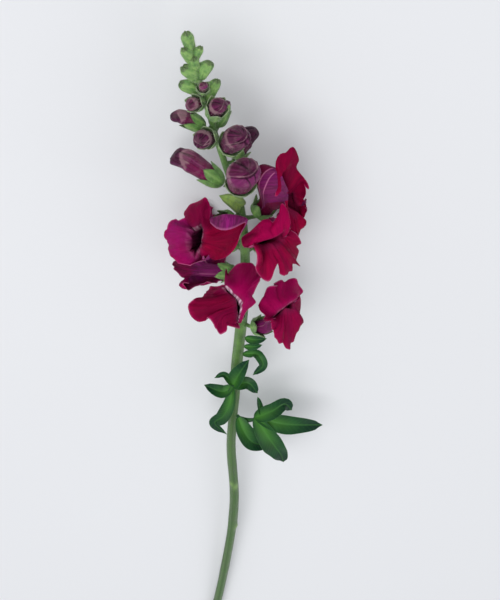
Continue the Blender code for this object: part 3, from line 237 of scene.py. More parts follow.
# Where marked points of a petal sheet come to lie in the growing frame: lobe, place across it from -1
# to 1, run from 0 at the throat to 1 at the margin (-1 at the base of the tube), then x, y and z.
PETAL_MARKS = {
    "left_high": (
        (1, -0.62, 1, -20.2, 111.7, 26.8), (1, -0.25, 1, -23.1, 117.5, 24.8),
        (1, 0.05, 1, -26.3, 113.5, 22.6), (1, 0.4, 1, -30.8, 109.8, 20.1), (1, 0.75, 1, -34.2, 104.8, 19.7),
        (2, -1, 1, -32.5, 101.1, 24.0), (1, 0, 0.5, -26.2, 110.1, 30.0), (1, 0.2, 0.12, -26.4, 101.0, 29.0),
        (2, -0.5, 1, -36.2, 101.8, 22.8), (2, 0, 1, -40.0, 100.6, 21.3), (2, 0.5, 1, -42.9, 99.2, 23.6),
        (3, -1, 1, -44.3, 95.7, 23.9), (3, -0.5, 1, -45.6, 91.5, 23.2), (3, 0, 1, -44.1, 87.2, 22.5),
        (3, 0.5, 1, -43.4, 86.3, 27.4), (4, -1, 1, -42.5, 83.6, 29.8), (4, -0.5, 1, -39.8, 83.5, 33.4),
        (4, 0, 1, -35.9, 81.5, 34.8), (4, 0.5, 1, -30.1, 83.7, 37.4), (4, 0.8, 1, -25.6, 85.3, 36.7),
        (0, -1, 1, -23.8, 87.4, 34.5), (3, 0, 0.5, -37.8, 94.7, 31.0), (4, 0, 0.5, -33.4, 86.2, 34.0),
        (2, 0, 0.5, -35.9, 102.1, 29.0), (2, 0, 0.15, -29.3, 100.7, 31.0),
        (3, -0.5, 0.15, -30.4, 97.5, 33.0), (3, 0.4, 0.15, -30.6, 93.3, 34.0),
        (4, 0, 0.15, -29.5, 89.6, 34.0), (2, 0, 0, -29.4, 95.4, 26.0), (3, 0, 0, -30.4, 89.4, 26.0),
        (4, 0, 0, -29.6, 85.4, 27.0), (2, 0, -0.3, -28.3, 89.8, 20.0), (3, 0, -0.3, -28.4, 86.3, 21.0),
        (4, 0, -0.3, -28.4, 82.0, 21.0), (0, -0.85, 1, -22.5, 90.1, 38.8), (0, -0.6, 1, -19.8, 82.5, 31.7),
        (0, -0.35, 1, -15.3, 81.2, 30.0), (0, -0.15, 1, -10.7, 83.8, 29.6), (0, 0, 1, -6.9, 90.4, 29.9),
        (0, 0.2, 1, -4.5, 99.8, 30.3), (0, 0.4, 0.8, -1.4, 107.7, 31.0), (0, 0.4, 1, -1.9, 110.5, 37.0),
        (0, 0.62, 0.75, -7.0, 111.6, 32.0), (0, 0.62, 1, -7.5, 111.3, 42.0),
        (0, 0.85, 0.75, -14.0, 111.8, 32.0), (0, 0.85, 1, -14.4, 110.4, 43.0),
        (1, -1, 0.7, -18.5, 109.3, 31.0), (1, -1, 1, -18.6, 110.2, 39.0), (0, 0, 0.5, -15.5, 96.2, 35.0),
        (0, 0.5, 0.45, -15.4, 102.7, 34.0), (0, -0.6, 0.5, -20.8, 90.3, 36.0),
        (0, -1, 0.5, -25.1, 84.7, 29.9), (1, -1, 0.12, -24.1, 102.2, 31.0),
        (0, 0.2, 0.12, -24.5, 99.3, 34.0), (0, -0.6, 0.12, -25.4, 93.7, 34.0),
        (4, 1, 0.12, -27.1, 89.7, 34.0), (1, -1, 0, -24.2, 96.7, 23.0), (0, 0, 0, -25.2, 89.1, 24.0),
    ),
    "left_mid": (
        (0, 1, 1, -43.6, 40.8, -17.2), (0, 0.3, 1, -45.8, 43.9, -9.7), (0, -0.3, 1, -42.7, 41.4, -5.6),
        (0, -1, 1, -36.3, 34.9, -9.2), (4, 0.5, 1, -38.2, 39.7, 1.2), (4, 0.2, 1, -38.2, 38.3, 2.6),
        (4, -0.3, 1, -30.9, 34.7, -1.2), (4, -1, 1, -23.6, 34.9, -4.3),
    ),
    "right_mid": (
        (1, 1, 1, 3.0, 88.3, 25.6), (1, 0.6, 1, -3.0, 84.8, 25.1), (1, 0.2, 1, -4.4, 85.7, 21.5),
        (1, -0.2, 1, -1.1, 88.4, 17.0), (1, -0.65, 1, 4.5, 97.2, 20.0), (0, 1, 1, 10.2, 98.9, 19.0),
        (0, 0.7, 1, 14.3, 100.9, 19.0), (0, 0.45, 1, 16.0, 103.4, 18.0), (0, 0.25, 1, 16.2, 106.8, 16.0),
        (0, 0.1, 1, 18.0, 106.6, 16.0), (0, -0.15, 1, 20.1, 102.7, 17.0), (0, -0.45, 1, 21.3, 96.9, 18.0),
        (0, -0.75, 1, 20.1, 91.1, 17.0), (0, -1, 1, 18.9, 86.4, 15.0), (1, 0.3, 0.2, 3.4, 88.0, 25.0),
        (1, -0.4, 0.2, 7.9, 90.1, 25.0), (0, 0.9, 0.2, 12.6, 91.8, 25.0), (0, 0.1, 0.2, 16.6, 92.9, 23.0),
        (0, -0.6, 0.3, 18.7, 91.9, 20.0), (1, 0, 0.6, 1.9, 91.8, 25.0), (1, -0.9, 0.6, 9.0, 96.3, 24.0),
        (0, 0.3, 0.6, 15.0, 98.0, 22.0), (0, -0.2, 0.6, 18.4, 98.7, 21.0), (2, -0.5, 1, 3.4, 86.6, 31.7),
        (2, 0, 1, 3.1, 76.3, 30.0), (2, 0.5, 1, 7.0, 65.4, 28.3), (2, 0.85, 1, 12.2, 64.9, 26.0),
        (3, -1, 1, 14.3, 72.5, 24.8), (3, -0.6, 1, 16.2, 65.8, 22.0), (3, 0, 1, 19.7, 62.3, 21.2),
        (3, 0.6, 1, 23.5, 63.3, 16.9), (3, 1, 1, 24.8, 65.4, 15.4), (4, -0.6, 1, 28.0, 60.5, 11.7),
        (4, -0.2, 1, 25.9, 62.9, 8.3), (4, 0.1, 1, 27.2, 66.7, 7.2), (4, 0.4, 1, 25.8, 71.4, 6.8),
        (4, 0.75, 1, 27.1, 80.4, 11.7), (2, 0, 0.2, 5.8, 82.6, 21.0), (3, 0, 0.2, 11.9, 83.8, 21.0),
        (4, 0, 0.2, 17.8, 83.8, 16.0), (2, 0, 0.6, 6.9, 76.0, 26.0), (3, 0, 0.6, 17.0, 74.5, 23.0),
        (4, 0, 0.6, 23.1, 74.2, 14.0), (3, -1, 0.6, 12.0, 78.2, 25.0), (3, 1, 0.6, 21.0, 75.3, 19.0),
    ),
    "right_high": (
        (1, 1, 1, 16.3, 108.8, 12.0), (1, 0.8, 1, 14.8, 116.3, 13.0), (1, 0.6, 1, 13.5, 123.2, 12.0),
        (1, 0.4, 1, 13.3, 128.7, 9.0), (1, 0.2, 1, 15.7, 131.4, 6.0), (1, 0, 1, 19.2, 131.1, 4.0),
        (1, -0.1, 1, 20.8, 133.4, 3.0), (1, -0.4, 1, 24.1, 128.8, 2.0), (1, -0.7, 1, 24.8, 124.0, 2.0),
        (0, 1, 1, 24.1, 118.4, 1.0), (0, 0.7, 1, 27.5, 114.3, 1.0), (0, 0.35, 1, 29.8, 111.8, 2.0),
        (0, 0.15, 1, 31.6, 107.6, 3.0), (0, 0, 1, 30.7, 107.2, 3.0), (0, -0.15, 1, 28.9, 109.0, 2.0),
        (0, -0.5, 1, 30.0, 103.0, 2.0), (0, -1, 1, 30.4, 98.0, 3.0), (4, 0.5, 1, 30.5, 94.2, 3.0),
        (4, 0, 1, 29.8, 90.1, 4.0), (4, -0.5, 1, 28.5, 86.2, 5.0), (4, -1, 1, 26.9, 82.8, 6.0),
        (3, 0.5, 1, 26.6, 79.6, 7.0), (3, 0, 1, 26.2, 77.2, 9.0), (2, 1, 1, 23.5, 79.3, 11.0),
        (2, 0.5, 1, 21.7, 88.4, 12.0), (2, 0, 1, 20.9, 95.2, 12.0), (2, -0.5, 1, 18.6, 101.8, 12.0),
        (2, -0.8, 1, 17.1, 106.0, 12.0), (1, -1, -0.4, 4.0, 114.6, 3.0), (3, 0, -0.4, 12.7, 94.8, 7.0),
        (1, 1, -0.3, 7.1, 111.6, 14.0), (1, 0.5, -0.4, 2.6, 114.0, 11.0), (1, -1, 0.02, 10.8, 120.9, 4.0),
        (1, 1, 0.02, 15.4, 112.3, 14.0), (3, 0, 0.02, 18.3, 101.7, 8.0), (0, -1, 0.02, 22.5, 101.5, -4.0),
        (1, -1, 0.5, 21.0, 117.5, 5.0), (1, -1, 0.2, 17.0, 113.4, 5.0), (1, 0, 0.5, 18.4, 126.5, 11.0),
        (1, 0.6, 0.5, 15.7, 121.7, 13.0), (0, 0, 0.5, 24.9, 107.2, 0.0), (0, 0.2, 0.15, 18.8, 103.2, 1.0),
        (0, -1, 0.3, 23.7, 96.1, -1.0), (3, 0, 0.5, 24.7, 90.0, 9.0), (3, 0, 0.15, 21.6, 95.3, 7.0),
        (4, 0, 0.15, 25.9, 89.5, -2.0), (4, 0, 0.6, 27.8, 89.1, 4.0), (2, 0, 0.5, 19.7, 97.5, 10.0),
    ),
    "left_low": (
        (1, 1, 1, -13.6, 54.3, 19.9), (1, 0.6, 1, -12.5, 50.8, 6.6), (1, 0.3, 1, -9.2, 54.7, 5.2),
        (1, 0, 1, -2.8, 60.0, 7.8), (1, -0.5, 1, 3.9, 58.7, 11.1), (1, -1, 1, 6.3, 57.1, 16.7),
        (0, 0.5, 1, 3.5, 54.7, 22.9), (0, 0, 1, 2.2, 49.4, 26.5), (0, -0.5, 1, -0.7, 45.0, 29.8),
        (0, -0.8, 1, -3.8, 39.5, 31.1), (0, -1, 1, -6.7, 33.0, 29.3), (4, 0.6, 1, -10.3, 41.1, 40.1),
        (4, 0.1, 1, -13.1, 39.8, 42.8), (4, -0.3, 1, -17.7, 39.8, 43.0), (4, -0.6, 1, -19.5, 42.6, 41.9),
        (4, -1, 1, -23.5, 47.9, 40.1), (3, 0.7, 1, -25.1, 41.8, 36.5), (3, 0.35, 1, -29.3, 40.3, 35.2),
        (3, 0, 1, -34.0, 47.7, 33.3), (3, -0.5, 1, -31.4, 51.3, 29.4), (3, -1, 1, -28.5, 49.5, 25.5),
        (2, 0.4, 1, -25.4, 47.0, 19.3), (2, -0.2, 1, -23.3, 46.2, 14.9), (2, -0.6, 1, -21.1, 49.8, 16.3),
        (2, -0.9, 1, -15.4, 53.0, 18.9), (1, 0.6, 0.15, -11.9, 60.4, 30.0), (1, 0, 0.15, -8.9, 56.7, 31.0),
        (1, -1, 0.15, -5.5, 53.0, 33.0), (0, 0, 0.15, -5.4, 48.4, 34.0), (0, -0.6, 0.15, -6.4, 42.7, 34.0),
        (0, -1, 0.5, -7.3, 38.4, 34.0), (2, 0, 0.15, -13.8, 59.5, 29.0), (3, 0, 0.15, -7.9, 53.5, 31.0),
        (4, 0, 0.15, -6.9, 45.1, 34.0), (3, 0, 0.6, -22.6, 50.7, 35.0), (4, 0, 0.6, -14.4, 46.9, 39.0),
        (2, 0, 0.6, -19.3, 54.6, 27.0), (1, 0, 0.6, -4.8, 62.0, 24.0), (0, 0, 0.6, -0.7, 55.3, 32.0),
    ),
    "right_low": (
        (1, 1, 1, 10.9, 35.1, 28.2), (1, 0.8, 1, 8.4, 37.6, 28.9), (1, 0.5, 1, 6.8, 39.4, 26.9),
        (1, 0, 1, 5.9, 40.8, 18.9), (1, -0.5, 1, 9.4, 44.1, 11.9), (1, -1, 1, 15.8, 43.8, 8.9),
        (0, 0.5, 1, 19.3, 41.0, 1.6), (0, 0.2, 1, 23.3, 40.7, -0.7), (0, -0.1, 1, 27.4, 39.8, -1.6),
        (0, -0.4, 1, 30.6, 32.0, -2.0), (0, -0.75, 1, 29.0, 28.3, 0.2), (0, -1, 1, 26.2, 32.4, 8.3),
        (4, 0.5, 1, 29.5, 18.6, 2.1), (4, 0.1, 1, 29.1, 15.8, 3.6), (4, -0.4, 1, 31.1, 13.5, 7.6),
        (4, -1, 1, 28.0, 14.7, 15.3), (3, 0.5, 1, 26.0, 8.4, 18.4), (3, 0, 1, 22.5, 5.9, 22.6),
        (3, -0.5, 1, 17.5, 13.1, 25.2), (3, -1, 1, 14.1, 19.8, 26.9), (2, 0.5, 1, 13.1, 23.1, 24.1),
        (2, 0, 1, 12.1, 30.1, 27.2), (2, -0.5, 1, 11.6, 31.2, 25.9), (2, -0.8, 1, 11.2, 33.5, 27.2),
        (1, 0.5, 0.2, 12.5, 30.5, 22.0), (1, -0.3, 0.2, 15.7, 35.4, 21.0), (0, 0.6, 0.2, 21.0, 38.7, 19.0),
        (0, -0.2, 0.2, 25.8, 39.2, 15.0), (1, 0, 0.6, 10.0, 38.9, 20.0), (0, 0.8, 0.6, 16.4, 41.1, 15.0),
        (0, 0, 0.6, 24.5, 39.7, 8.0), (3, 0, 0.2, 20.4, 34.6, 18.0), (2, 0, 0.2, 14.4, 29.6, 20.0),
        (4, 0, 0.2, 25.3, 34.0, 13.0), (3, 0, 0.6, 21.0, 21.1, 22.0), (2, 0.3, 0.6, 15.8, 28.0, 24.0),
        (4, 0, 0.6, 26.0, 24.7, 12.0),
    ),
}
# How far the move of one mark is felt on the flower unrolled as a disk, and the throat's radius there.
MARK_REACH = 0.55
MARK_THROAT = 0.4

# Coloured buds: name, height, azimuth, ascend, roll, pedicel length, length, radius, share in the calyx.
BUDS = (
    ("front", 109, 56, 49, 0, 2.0, 27.0, 8.6, 0.3),
    ("left", 107, 208, 42, 0, 2.0, 31.0, 5.8, 0.38),
    ("back_high", 121, 338, 42, 0, 2.0, 18.5, 5.2, 0.36),
    ("front_high", 132, 44, 41, 0, 2.0, 20.0, 6.7, 0.32),
    ("left_dark", 139.5, 111, 33, 0, 1.5, 14.0, 4.8, 0.58),
    ("right_back", 141, 297, 30, 0, 1.5, 15.0, 3.6, 0.72),
    ("left_high", 144, 172, 48, 0, 1.5, 18.0, 3.7, 0.6),
    ("right_high", 151, 55, 46, 0, 1.5, 18.0, 4.3, 0.72),
    ("left_top", 159.2, 117, 31, 0, 1.4, 11.0, 3.3, 0.64),
    ("top_pink", 164.7, 65, 52, 0, 1.4, 8.0, 2.2, 0.55),
)
# How each bud looks: tint, from plum to pink; turn, how far the face of its end is turned about its
# axis, and spin, its sepals, in radians; blunt and dark_end, how far along its blunt end and its dark
# end begin; pale, how pale the rim and the face of its end are, the rim's paleness being painted
# sheen of light grazing its down.
BUD_DEFAULTS = dict(turn=0.0, blunt=0.66, dark_end=2.0, pale=(0.0, 0.0), spin=0.0)
BUD_LOOKS = {
    "front": dict(tint=0.55, turn=0.1),
    "left": dict(tint=0.75, blunt=0.92, dark_end=0.7, spin=0.5),
    "back_high": dict(tint=0.15, blunt=0.72, dark_end=0.6),
    "front_high": dict(tint=0.1, turn=-0.25),
    "left_dark": dict(tint=0.05, turn=0.5, pale=(1.0, 0.0)),
    "right_back": dict(tint=0.2),
    "left_high": dict(tint=0.5, blunt=0.78, dark_end=0.76, pale=(0.6, 0.0), spin=0.5),
    "right_high": dict(tint=0.25, turn=-0.6, pale=(1.0, 0.05)),
    "left_top": dict(tint=0.6, turn=0.9, pale=(1.0, 0.4)),
    "top_pink": dict(tint=0.9, pale=(1.0, 0.5)),
}
BUD_BASE_SHARE = 0.85
# Green buds of the tip: height, azimuth, ascend, length, radius.
GREEN_BUDS = (
    (158.6, 348, 54, 12.0, 3.5),
    (163.7, 181, 50, 11.0, 3.8),
    (170.3, 100, 80, 8.0, 2.7),
    (171.1, 359, 50, 10.5, 3.7),
    (172.0, 134, 68, 10.5, 3.8),
    (171.0, 262, 50, 10.0, 3.2),
    (175.7, 62, 77, 9.0, 3.0),
    (180.6, 359, 59, 8.5, 2.6),
    (180.8, 118, 78, 9.5, 3.1),
    (183.0, 275, 60, 8.5, 2.5),
    (187.5, 92, 80, 10.5, 3.2),
)

# Leaves: name, then width, how far the halves fold up, where the upper face looks, centre line points.
LEAVES = (
    ("bract_low", 5.5, 0.35, (0, 0.6, 0.8), ((-3.0, -4.2, 2.8), (2.8, -2.6, 6.0), (10.0, 0.5, 8.0))),
    ("bract_small", 4.2, 0.3, (0, 0.6, 0.8), ((-3.7, -11.2, 2.9), (1.8, -9.6, 5.0), (7.4, -6.4, 6.5))),
    ("bract_high", 8.5, 0.8, (0.1, 0.5, 0.85),
     ((-4.9, 95.2, 2.85), (-9.3, 103.2, 8.0), (-16.2, 108.6, 11.0))),
    ("leaf_curled", 6.0, 0.3, (0.2, 0.8, 0.6),
     ((-4.5, -18.0, 3.1), (2.6, -12.6, 8.0), (5.8, -11.4, 12.0), (7.8, -17.1, 14.0), (1.8, -27.3, 12.0))),
)
# Two leafy side shoots: name, where the leaves grow together, and each leaf as above.
SHOOTS = (
    ("shoot_left", (-10.7, -44.0, 5.1), (
        (10.0, 0.6, (-0.35, 0.5, 0.8), ((-10.8, -44.1, 5.4), (-6.6, -29.0, 9.0), (-0.6, -15.4, 10.4))),
        (4.8, 0.4, (0, 0.8, 0.6), ((-10.6, -43.5, 5.2), (-16.3, -31.4, 8.0), (-22.3, -32.0, 10.0))),
        (8.5, 0.45, (0, 0.8, 0.6), ((-10.7, -44.5, 5.2), (-17.9, -48.4, 6.6), (-29.0, -40.6, 8.0))),
        (8.0, 0.5, (0, 0.7, 0.7), ((-10.9, -44.5, 5.2), (-1.3, -38.8, 8.0), (4.8, -47.1, 9.0))),
        (9.0, 0.5, (-0.3, 0.4, 0.9),
         ((-10.9, -43.8, 5.4), (-12.8, -56.0, 9.0), (-17.6, -70.4, 8.0), (-23.2, -79.6, 6.0),
          (-15.6, -91.2, 6.0))),
    )),
    ("shoot_right", (-8.0, -75.0, 4.0), (
        (12.0, 0.5, (0.3, 0.6, 0.8),
         ((-8.0, -75.0, 4.4), (-4.0, -84.2, 9.0), (1.8, -94.4, 10.0), (11.9, -103.5, 6.0))),
        (14.5, 0.5, (-0.1, 0.6, 0.8),
         ((3.3, -73.8, 5.0), (11.0, -87.5, 9.0), (17.0, -101.0, 8.5), (21.4, -113.0, 6.0),
          (23.2, -122.5, 4.5))),
        (12.5, 0.45, (0, 0.6, 0.8), ((4.0, -75.9, 4.4), (23.9, -80.7, 6.0), (48.6, -86.3, 2.0))),
        (10.5, 0.5, (0, 0.7, 0.7),
         ((3.3, -75.6, 5.0), (14.2, -63.2, 10.0), (22.1, -56.4, 10.0), (27.2, -64.5, 8.0))),
        (4.6, 0.3, (0.5, 0.5, 0.7), ((7.8, -72.8, 5.5), (4.9, -54.1, 6.0))),
        (3.4, 0.3, (0, 0.3, 1), ((-8.0, -75.2, 4.0), (-2.0, -77.9, 4.6), (6.4, -75.8, 5.2))),
    )),
)
LEAF_ROWS = 46
LEAF_ACROSS = 17
# Half the height of the knob where the leaves of a shoot grow together.
KNOB_HALF = 1.3


def smoothstep(x):
    """3x^2 - 2x^3, with x held between 0 and 1."""
    x = np.clip(x, 0.0, 1.0)
    return x * x * (3 - 2 * x)


def bump(x, middle, width):
    """A bell: e to the minus square of the distance from the middle, in widths."""
    return np.exp(-(((x - middle) / width) ** 2))


def unit(vectors):
    """Vectors brought to length 1."""
    return vectors / np.maximum(np.linalg.norm(vectors, axis=-1, keepdims=True), 1e-9)


def triple(x, y, z):
    """Three arrays spread over one grid, as its points or marks."""
    return np.stack(np.broadcast_arrays(x, y, z), -1)


def round_angles(columns):
    """Angles round a circle, as one row."""
    return np.linspace(0, 2 * np.pi, columns, endpoint=False)[None, :]


def grown_round(angle, along):
    """The grown mark of a round piece: cosine and sine of the angle, and how far along it is."""
    return triple(np.cos(angle), np.sin(angle), along)


def end_crowded(rows, start, end):
    """Shares from nearly 0 to nearly 1, closer together at both ends, as one column."""
    return (1 - np.cos(np.linspace(start, end, rows) * np.pi))[:, None] / 2


def lengths_along(line):
    """How far along a line each of its points is."""
    return np.concatenate([[0], np.cumsum(np.linalg.norm(np.diff(line, axis=0), axis=1))])


def catmull_rom(points, step):
    """A smooth curve through the points: a cubic between each two, sampled about every step."""
    points = np.asarray(points, float)
    ends = np.vstack([2 * points[0] - points[1], points, 2 * points[-1] - points[-2]])
    made = []
    for before, start, end, after in zip(ends, ends[1:], ends[2:], ends[3:]):
        count = max(1, round(float(np.linalg.norm((end - start)[:3])) / step))
        t = (np.arange(count) / count)[:, None]
        made.append(0.5 * (
            2 * start
            + (end - before) * t
            + (2 * before - 5 * start + 4 * end - after) * t**2
            + (3 * start - before - 3 * end + after) * t**3
        ))
    return np.vstack([*made, points[-1:]])


STEM_COARSE = catmull_rom(STEM_ROUTE, 9.0)


def stem_at(y):
    """Centre, radius and direction of the stem at height y."""
    here, above, below = (
        np.array([np.interp(height, STEM_COARSE[:, 1], column) for column in STEM_COARSE.T])
        for height in (y, y + 4, y - 4)
    )
    return here[:3], here[3], unit(above[:3] - below[:3])


def frame_on_stem(y, azimuth, ascend, roll, reach, half):
    """Origin and axes of something that grows from the stem.

    The first axis points away from the stem at the azimuth (0 right, 90 front) and rises by ascend,
    and the third points up the stem, turned by roll. The origin lies reach along the first axis from
    a point so far out that something of that half width clears the stem."""
    centre, radius, along = stem_at(y)
    a, b, r = (math.radians(v) for v in (azimuth, ascend, roll))
    out = np.array([math.cos(a), 0.0, math.sin(a)])
    out = unit(out - along * (out @ along))
    first = math.cos(b) * out + math.sin(b) * along
    third = math.cos(b) * along - math.sin(b) * out
    second = np.cross(third, first)
    turned_second = math.cos(r) * second + math.sin(r) * third
    turned_third = math.cos(r) * third - math.sin(r) * second
    origin = centre + out * (radius + half * abs(math.sin(b))) + first * reach
    return origin, np.array([first, turned_second, turned_third])


def lay_turn():
    """The turn that lays the spike down, as a 3 by 3 matrix."""
    a, b = math.radians(LAY_PITCH_DEG), math.radians(LAY_ROLL_DEG)
    about_x = np.array([[1, 0, 0], [0, math.cos(a), -math.sin(a)], [0, math.sin(a), math.cos(a)]])
    about_y = np.array([[math.cos(b), 0, math.sin(b)], [0, 1, 0], [-math.sin(b), 0, math.cos(b)]])
    return about_y @ about_x


LAY_TURN = lay_turn()


def lay(points):
    """Points of the growing frame as the spike lies, in metres."""
    return (points @ LAY_TURN.T + LAY_OFFSET) * MM


def pressed(points, height):
    """Points of the growing frame, with those lower than height above the floor lifted to it."""
    up = LAY_TURN[2]
    above = points @ up + LAY_OFFSET[2]
    return points + np.clip(height - above, 0, None)[..., None] * up


def normals_of(grid, closed=True):
    """Unit normals of a grid of points: the cross product of its two directions."""
    if closed:
        around = (np.roll(grid, -1, 1) - np.roll(grid, 1, 1)) / 2
    else:
        around = np.gradient(grid, axis=1)
    return unit(np.cross(around, np.gradient(grid, axis=0)))


def skin(grid, marks, slots=0):
    """A closed skin from rows of points whose columns run round: squares between the rows, and a fan
    from the first and the last row to their own middle points. marks are values for each point, and
    slots is the finish of each row of faces or one for all."""
    rows, columns = grid.shape[:2]
    i, j = np.indices((rows - 1, columns))
    a, b = i * columns + j, i * columns + (j + 1) % columns
    quads = np.stack([a, b, b + columns, a + columns], -1).reshape(-1, 4)
    near = np.arange(columns)
    far = (near + 1) % columns
    count, last = rows * columns, (rows - 1) * columns
    tris = np.concatenate([triple(far, near, count), triple(last + near, last + far, count + 1)])

    def capped(values):
        values = np.broadcast_to(values, (rows, columns, 3))
        return np.concatenate([values.reshape(-1, 3), values[:1].mean(1), values[-1:].mean(1)])

    points = capped(grid)
    slots = np.broadcast_to(slots, rows - 1)
    volume = sum(
        np.einsum("ij,ij->i", face[:, 0], np.cross(face[:, p], face[:, q])).sum()
        for face, p, q in ((points[tris], 1, 2), (points[quads], 1, 2), (points[quads], 2, 3))
    )
    if volume < 0:
        quads, tris = quads[:, ::-1], tris[:, ::-1]
    return {
        "points": points,
        "quads": quads,
        "tris": tris,
        "marks": {name: capped(values) for name, values in marks.items()},
        "slots": np.concatenate([np.repeat(slots, columns), np.repeat(slots[[0, -1]], columns)]),
    }


def add_piece(name, skins, finishes, nodes):
    """One object from skins of the growing frame, which rides on the root and stands for the nodes."""
    points = lay(np.concatenate([s["points"] for s in skins]))
    starts = np.cumsum([0] + [len(s["points"]) for s in skins[:-1]])
    quads = np.concatenate([s["quads"] + k for s, k in zip(skins, starts)])
    tris = np.concatenate([s["tris"] + k for s, k in zip(skins, starts)])
    squares = [s["slots"][: len(s["quads"])] for s in skins]
    corners = [s["slots"][len(s["quads"]) :] for s in skins]
    mesh = bpy.data.meshes.new(name)
    mesh.from_pydata(points.tolist(), [], quads.tolist() + tris.tolist())
    for look in finishes:
        mesh.materials.append(look)
    mesh.polygons.foreach_set("material_index", np.concatenate(squares + corners).astype(np.int32))
    mesh.polygons.foreach_set("use_smooth", np.ones(len(mesh.polygons), bool))
    for mark in skins[0]["marks"]:
        values = np.concatenate([s["marks"][mark] for s in skins]).astype(np.float32)
        mesh.attributes.new(mark, "FLOAT_VECTOR", "POINT").data.foreach_set("vector", values.ravel())
    mesh.update()
    made = bpy.data.objects.new(name, mesh)
    bpy.context.scene.collection.objects.link(made)
    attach(made, "root")
    if nodes:
        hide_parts(*nodes)


def walled_skin(middle, thick, marks, inner_slot):
    """A thin sheet with two walls: the middle surface moved both ways along its normals by half the
    thickness, joined round the margin by a row that stands out by 0.4 of it.

    The columns run round. The rows go up the outer wall, over the margin and back down the inner one.
    The outer wall has the first finish, and the inner one that of inner_slot."""
    normal = normals_of(middle)
    outer, inner = middle + normal * thick / 2, middle - normal * thick / 2
    rim = middle[-1] + unit(middle[-1] - middle[-2]) * thick[-1] * 0.4
    grid = np.concatenate([outer, rim[None], inner[::-1]])
    doubled = {}
    for name, values in marks.items():
        values = np.broadcast_to(values, middle.shape)
        doubled[name] = np.concatenate([values, values[-1:], values[::-1]])
    return skin(grid, doubled, np.repeat((0, inner_slot), len(middle)))


def tube_radius(share):
    """Radius of the corolla tube at a share of its length: it widens by a smooth step."""
    grown = smoothstep(share * 0.92 + 0.04)
    return TUBE_BASE_RADIUS + (TUBE_THROAT_RADIUS - TUBE_BASE_RADIUS) * grown


def tube_shares():
    """How far along the tube each of its rows is, closer together towards the base."""
    return np.maximum(np.linspace(0, 1, TUBE_ROWS, endpoint=False) ** 0.8, 0.004)


def lobe_grid(longer, merged):
    """Angle round the mouth, place in the lobe from -1 to 1, lip length, lobe and whether the nearer
    edge of the lobe lies within its lip, for each column.

    The length rises from that of the lobe's edges to that of its middle along a rounded arch. Where
    two lobes of one lip meet, the merged share of the notch between them is filled."""
    k = np.repeat(np.arange(5), LOBE_COLUMNS)
    t = np.tile(np.linspace(-1, 1, LOBE_COLUMNS, endpoint=False), 5)
    borders, edges = np.array(LOBE_EDGES_DEG), np.array(LOBE_EDGE_LENGTHS)
    angle = borders[k] + (borders[k + 1] - borders[k]) * (t + 1) / 2
    within = np.isin(2 * k + (t >= 0), (1, 2, 5, 6, 7, 8))
    tips = np.array(LOBE_TIP_LENGTHS) * np.array(longer)
    notches = np.array([0, *((tips[:-1] + tips[1:]) / 2 - edges[1:-1]), 0])
    edges = edges + merged * notches * (edges > 10)
    edge = np.where(t < 0, edges[k], edges[k + 1])
    length = edge + (tips[k] - edge) * (1 - np.abs(t) ** 2.4) ** 0.6
    return np.radians(angle), t, length, k, within


def by_lobe(values, lobe, across, fade=0.45):
    """A value for each column from one for each lobe, which fades into the next lobe's at the edges."""
    values = np.asarray(values, float)
    other = np.where(across < 0, values[(lobe - 1) % 5], values[(lobe + 1) % 5])
    share = 0.5 + 0.5 * smoothstep((1 - np.abs(across)) / fade)
    return values[lobe] * share + other * (1 - share)


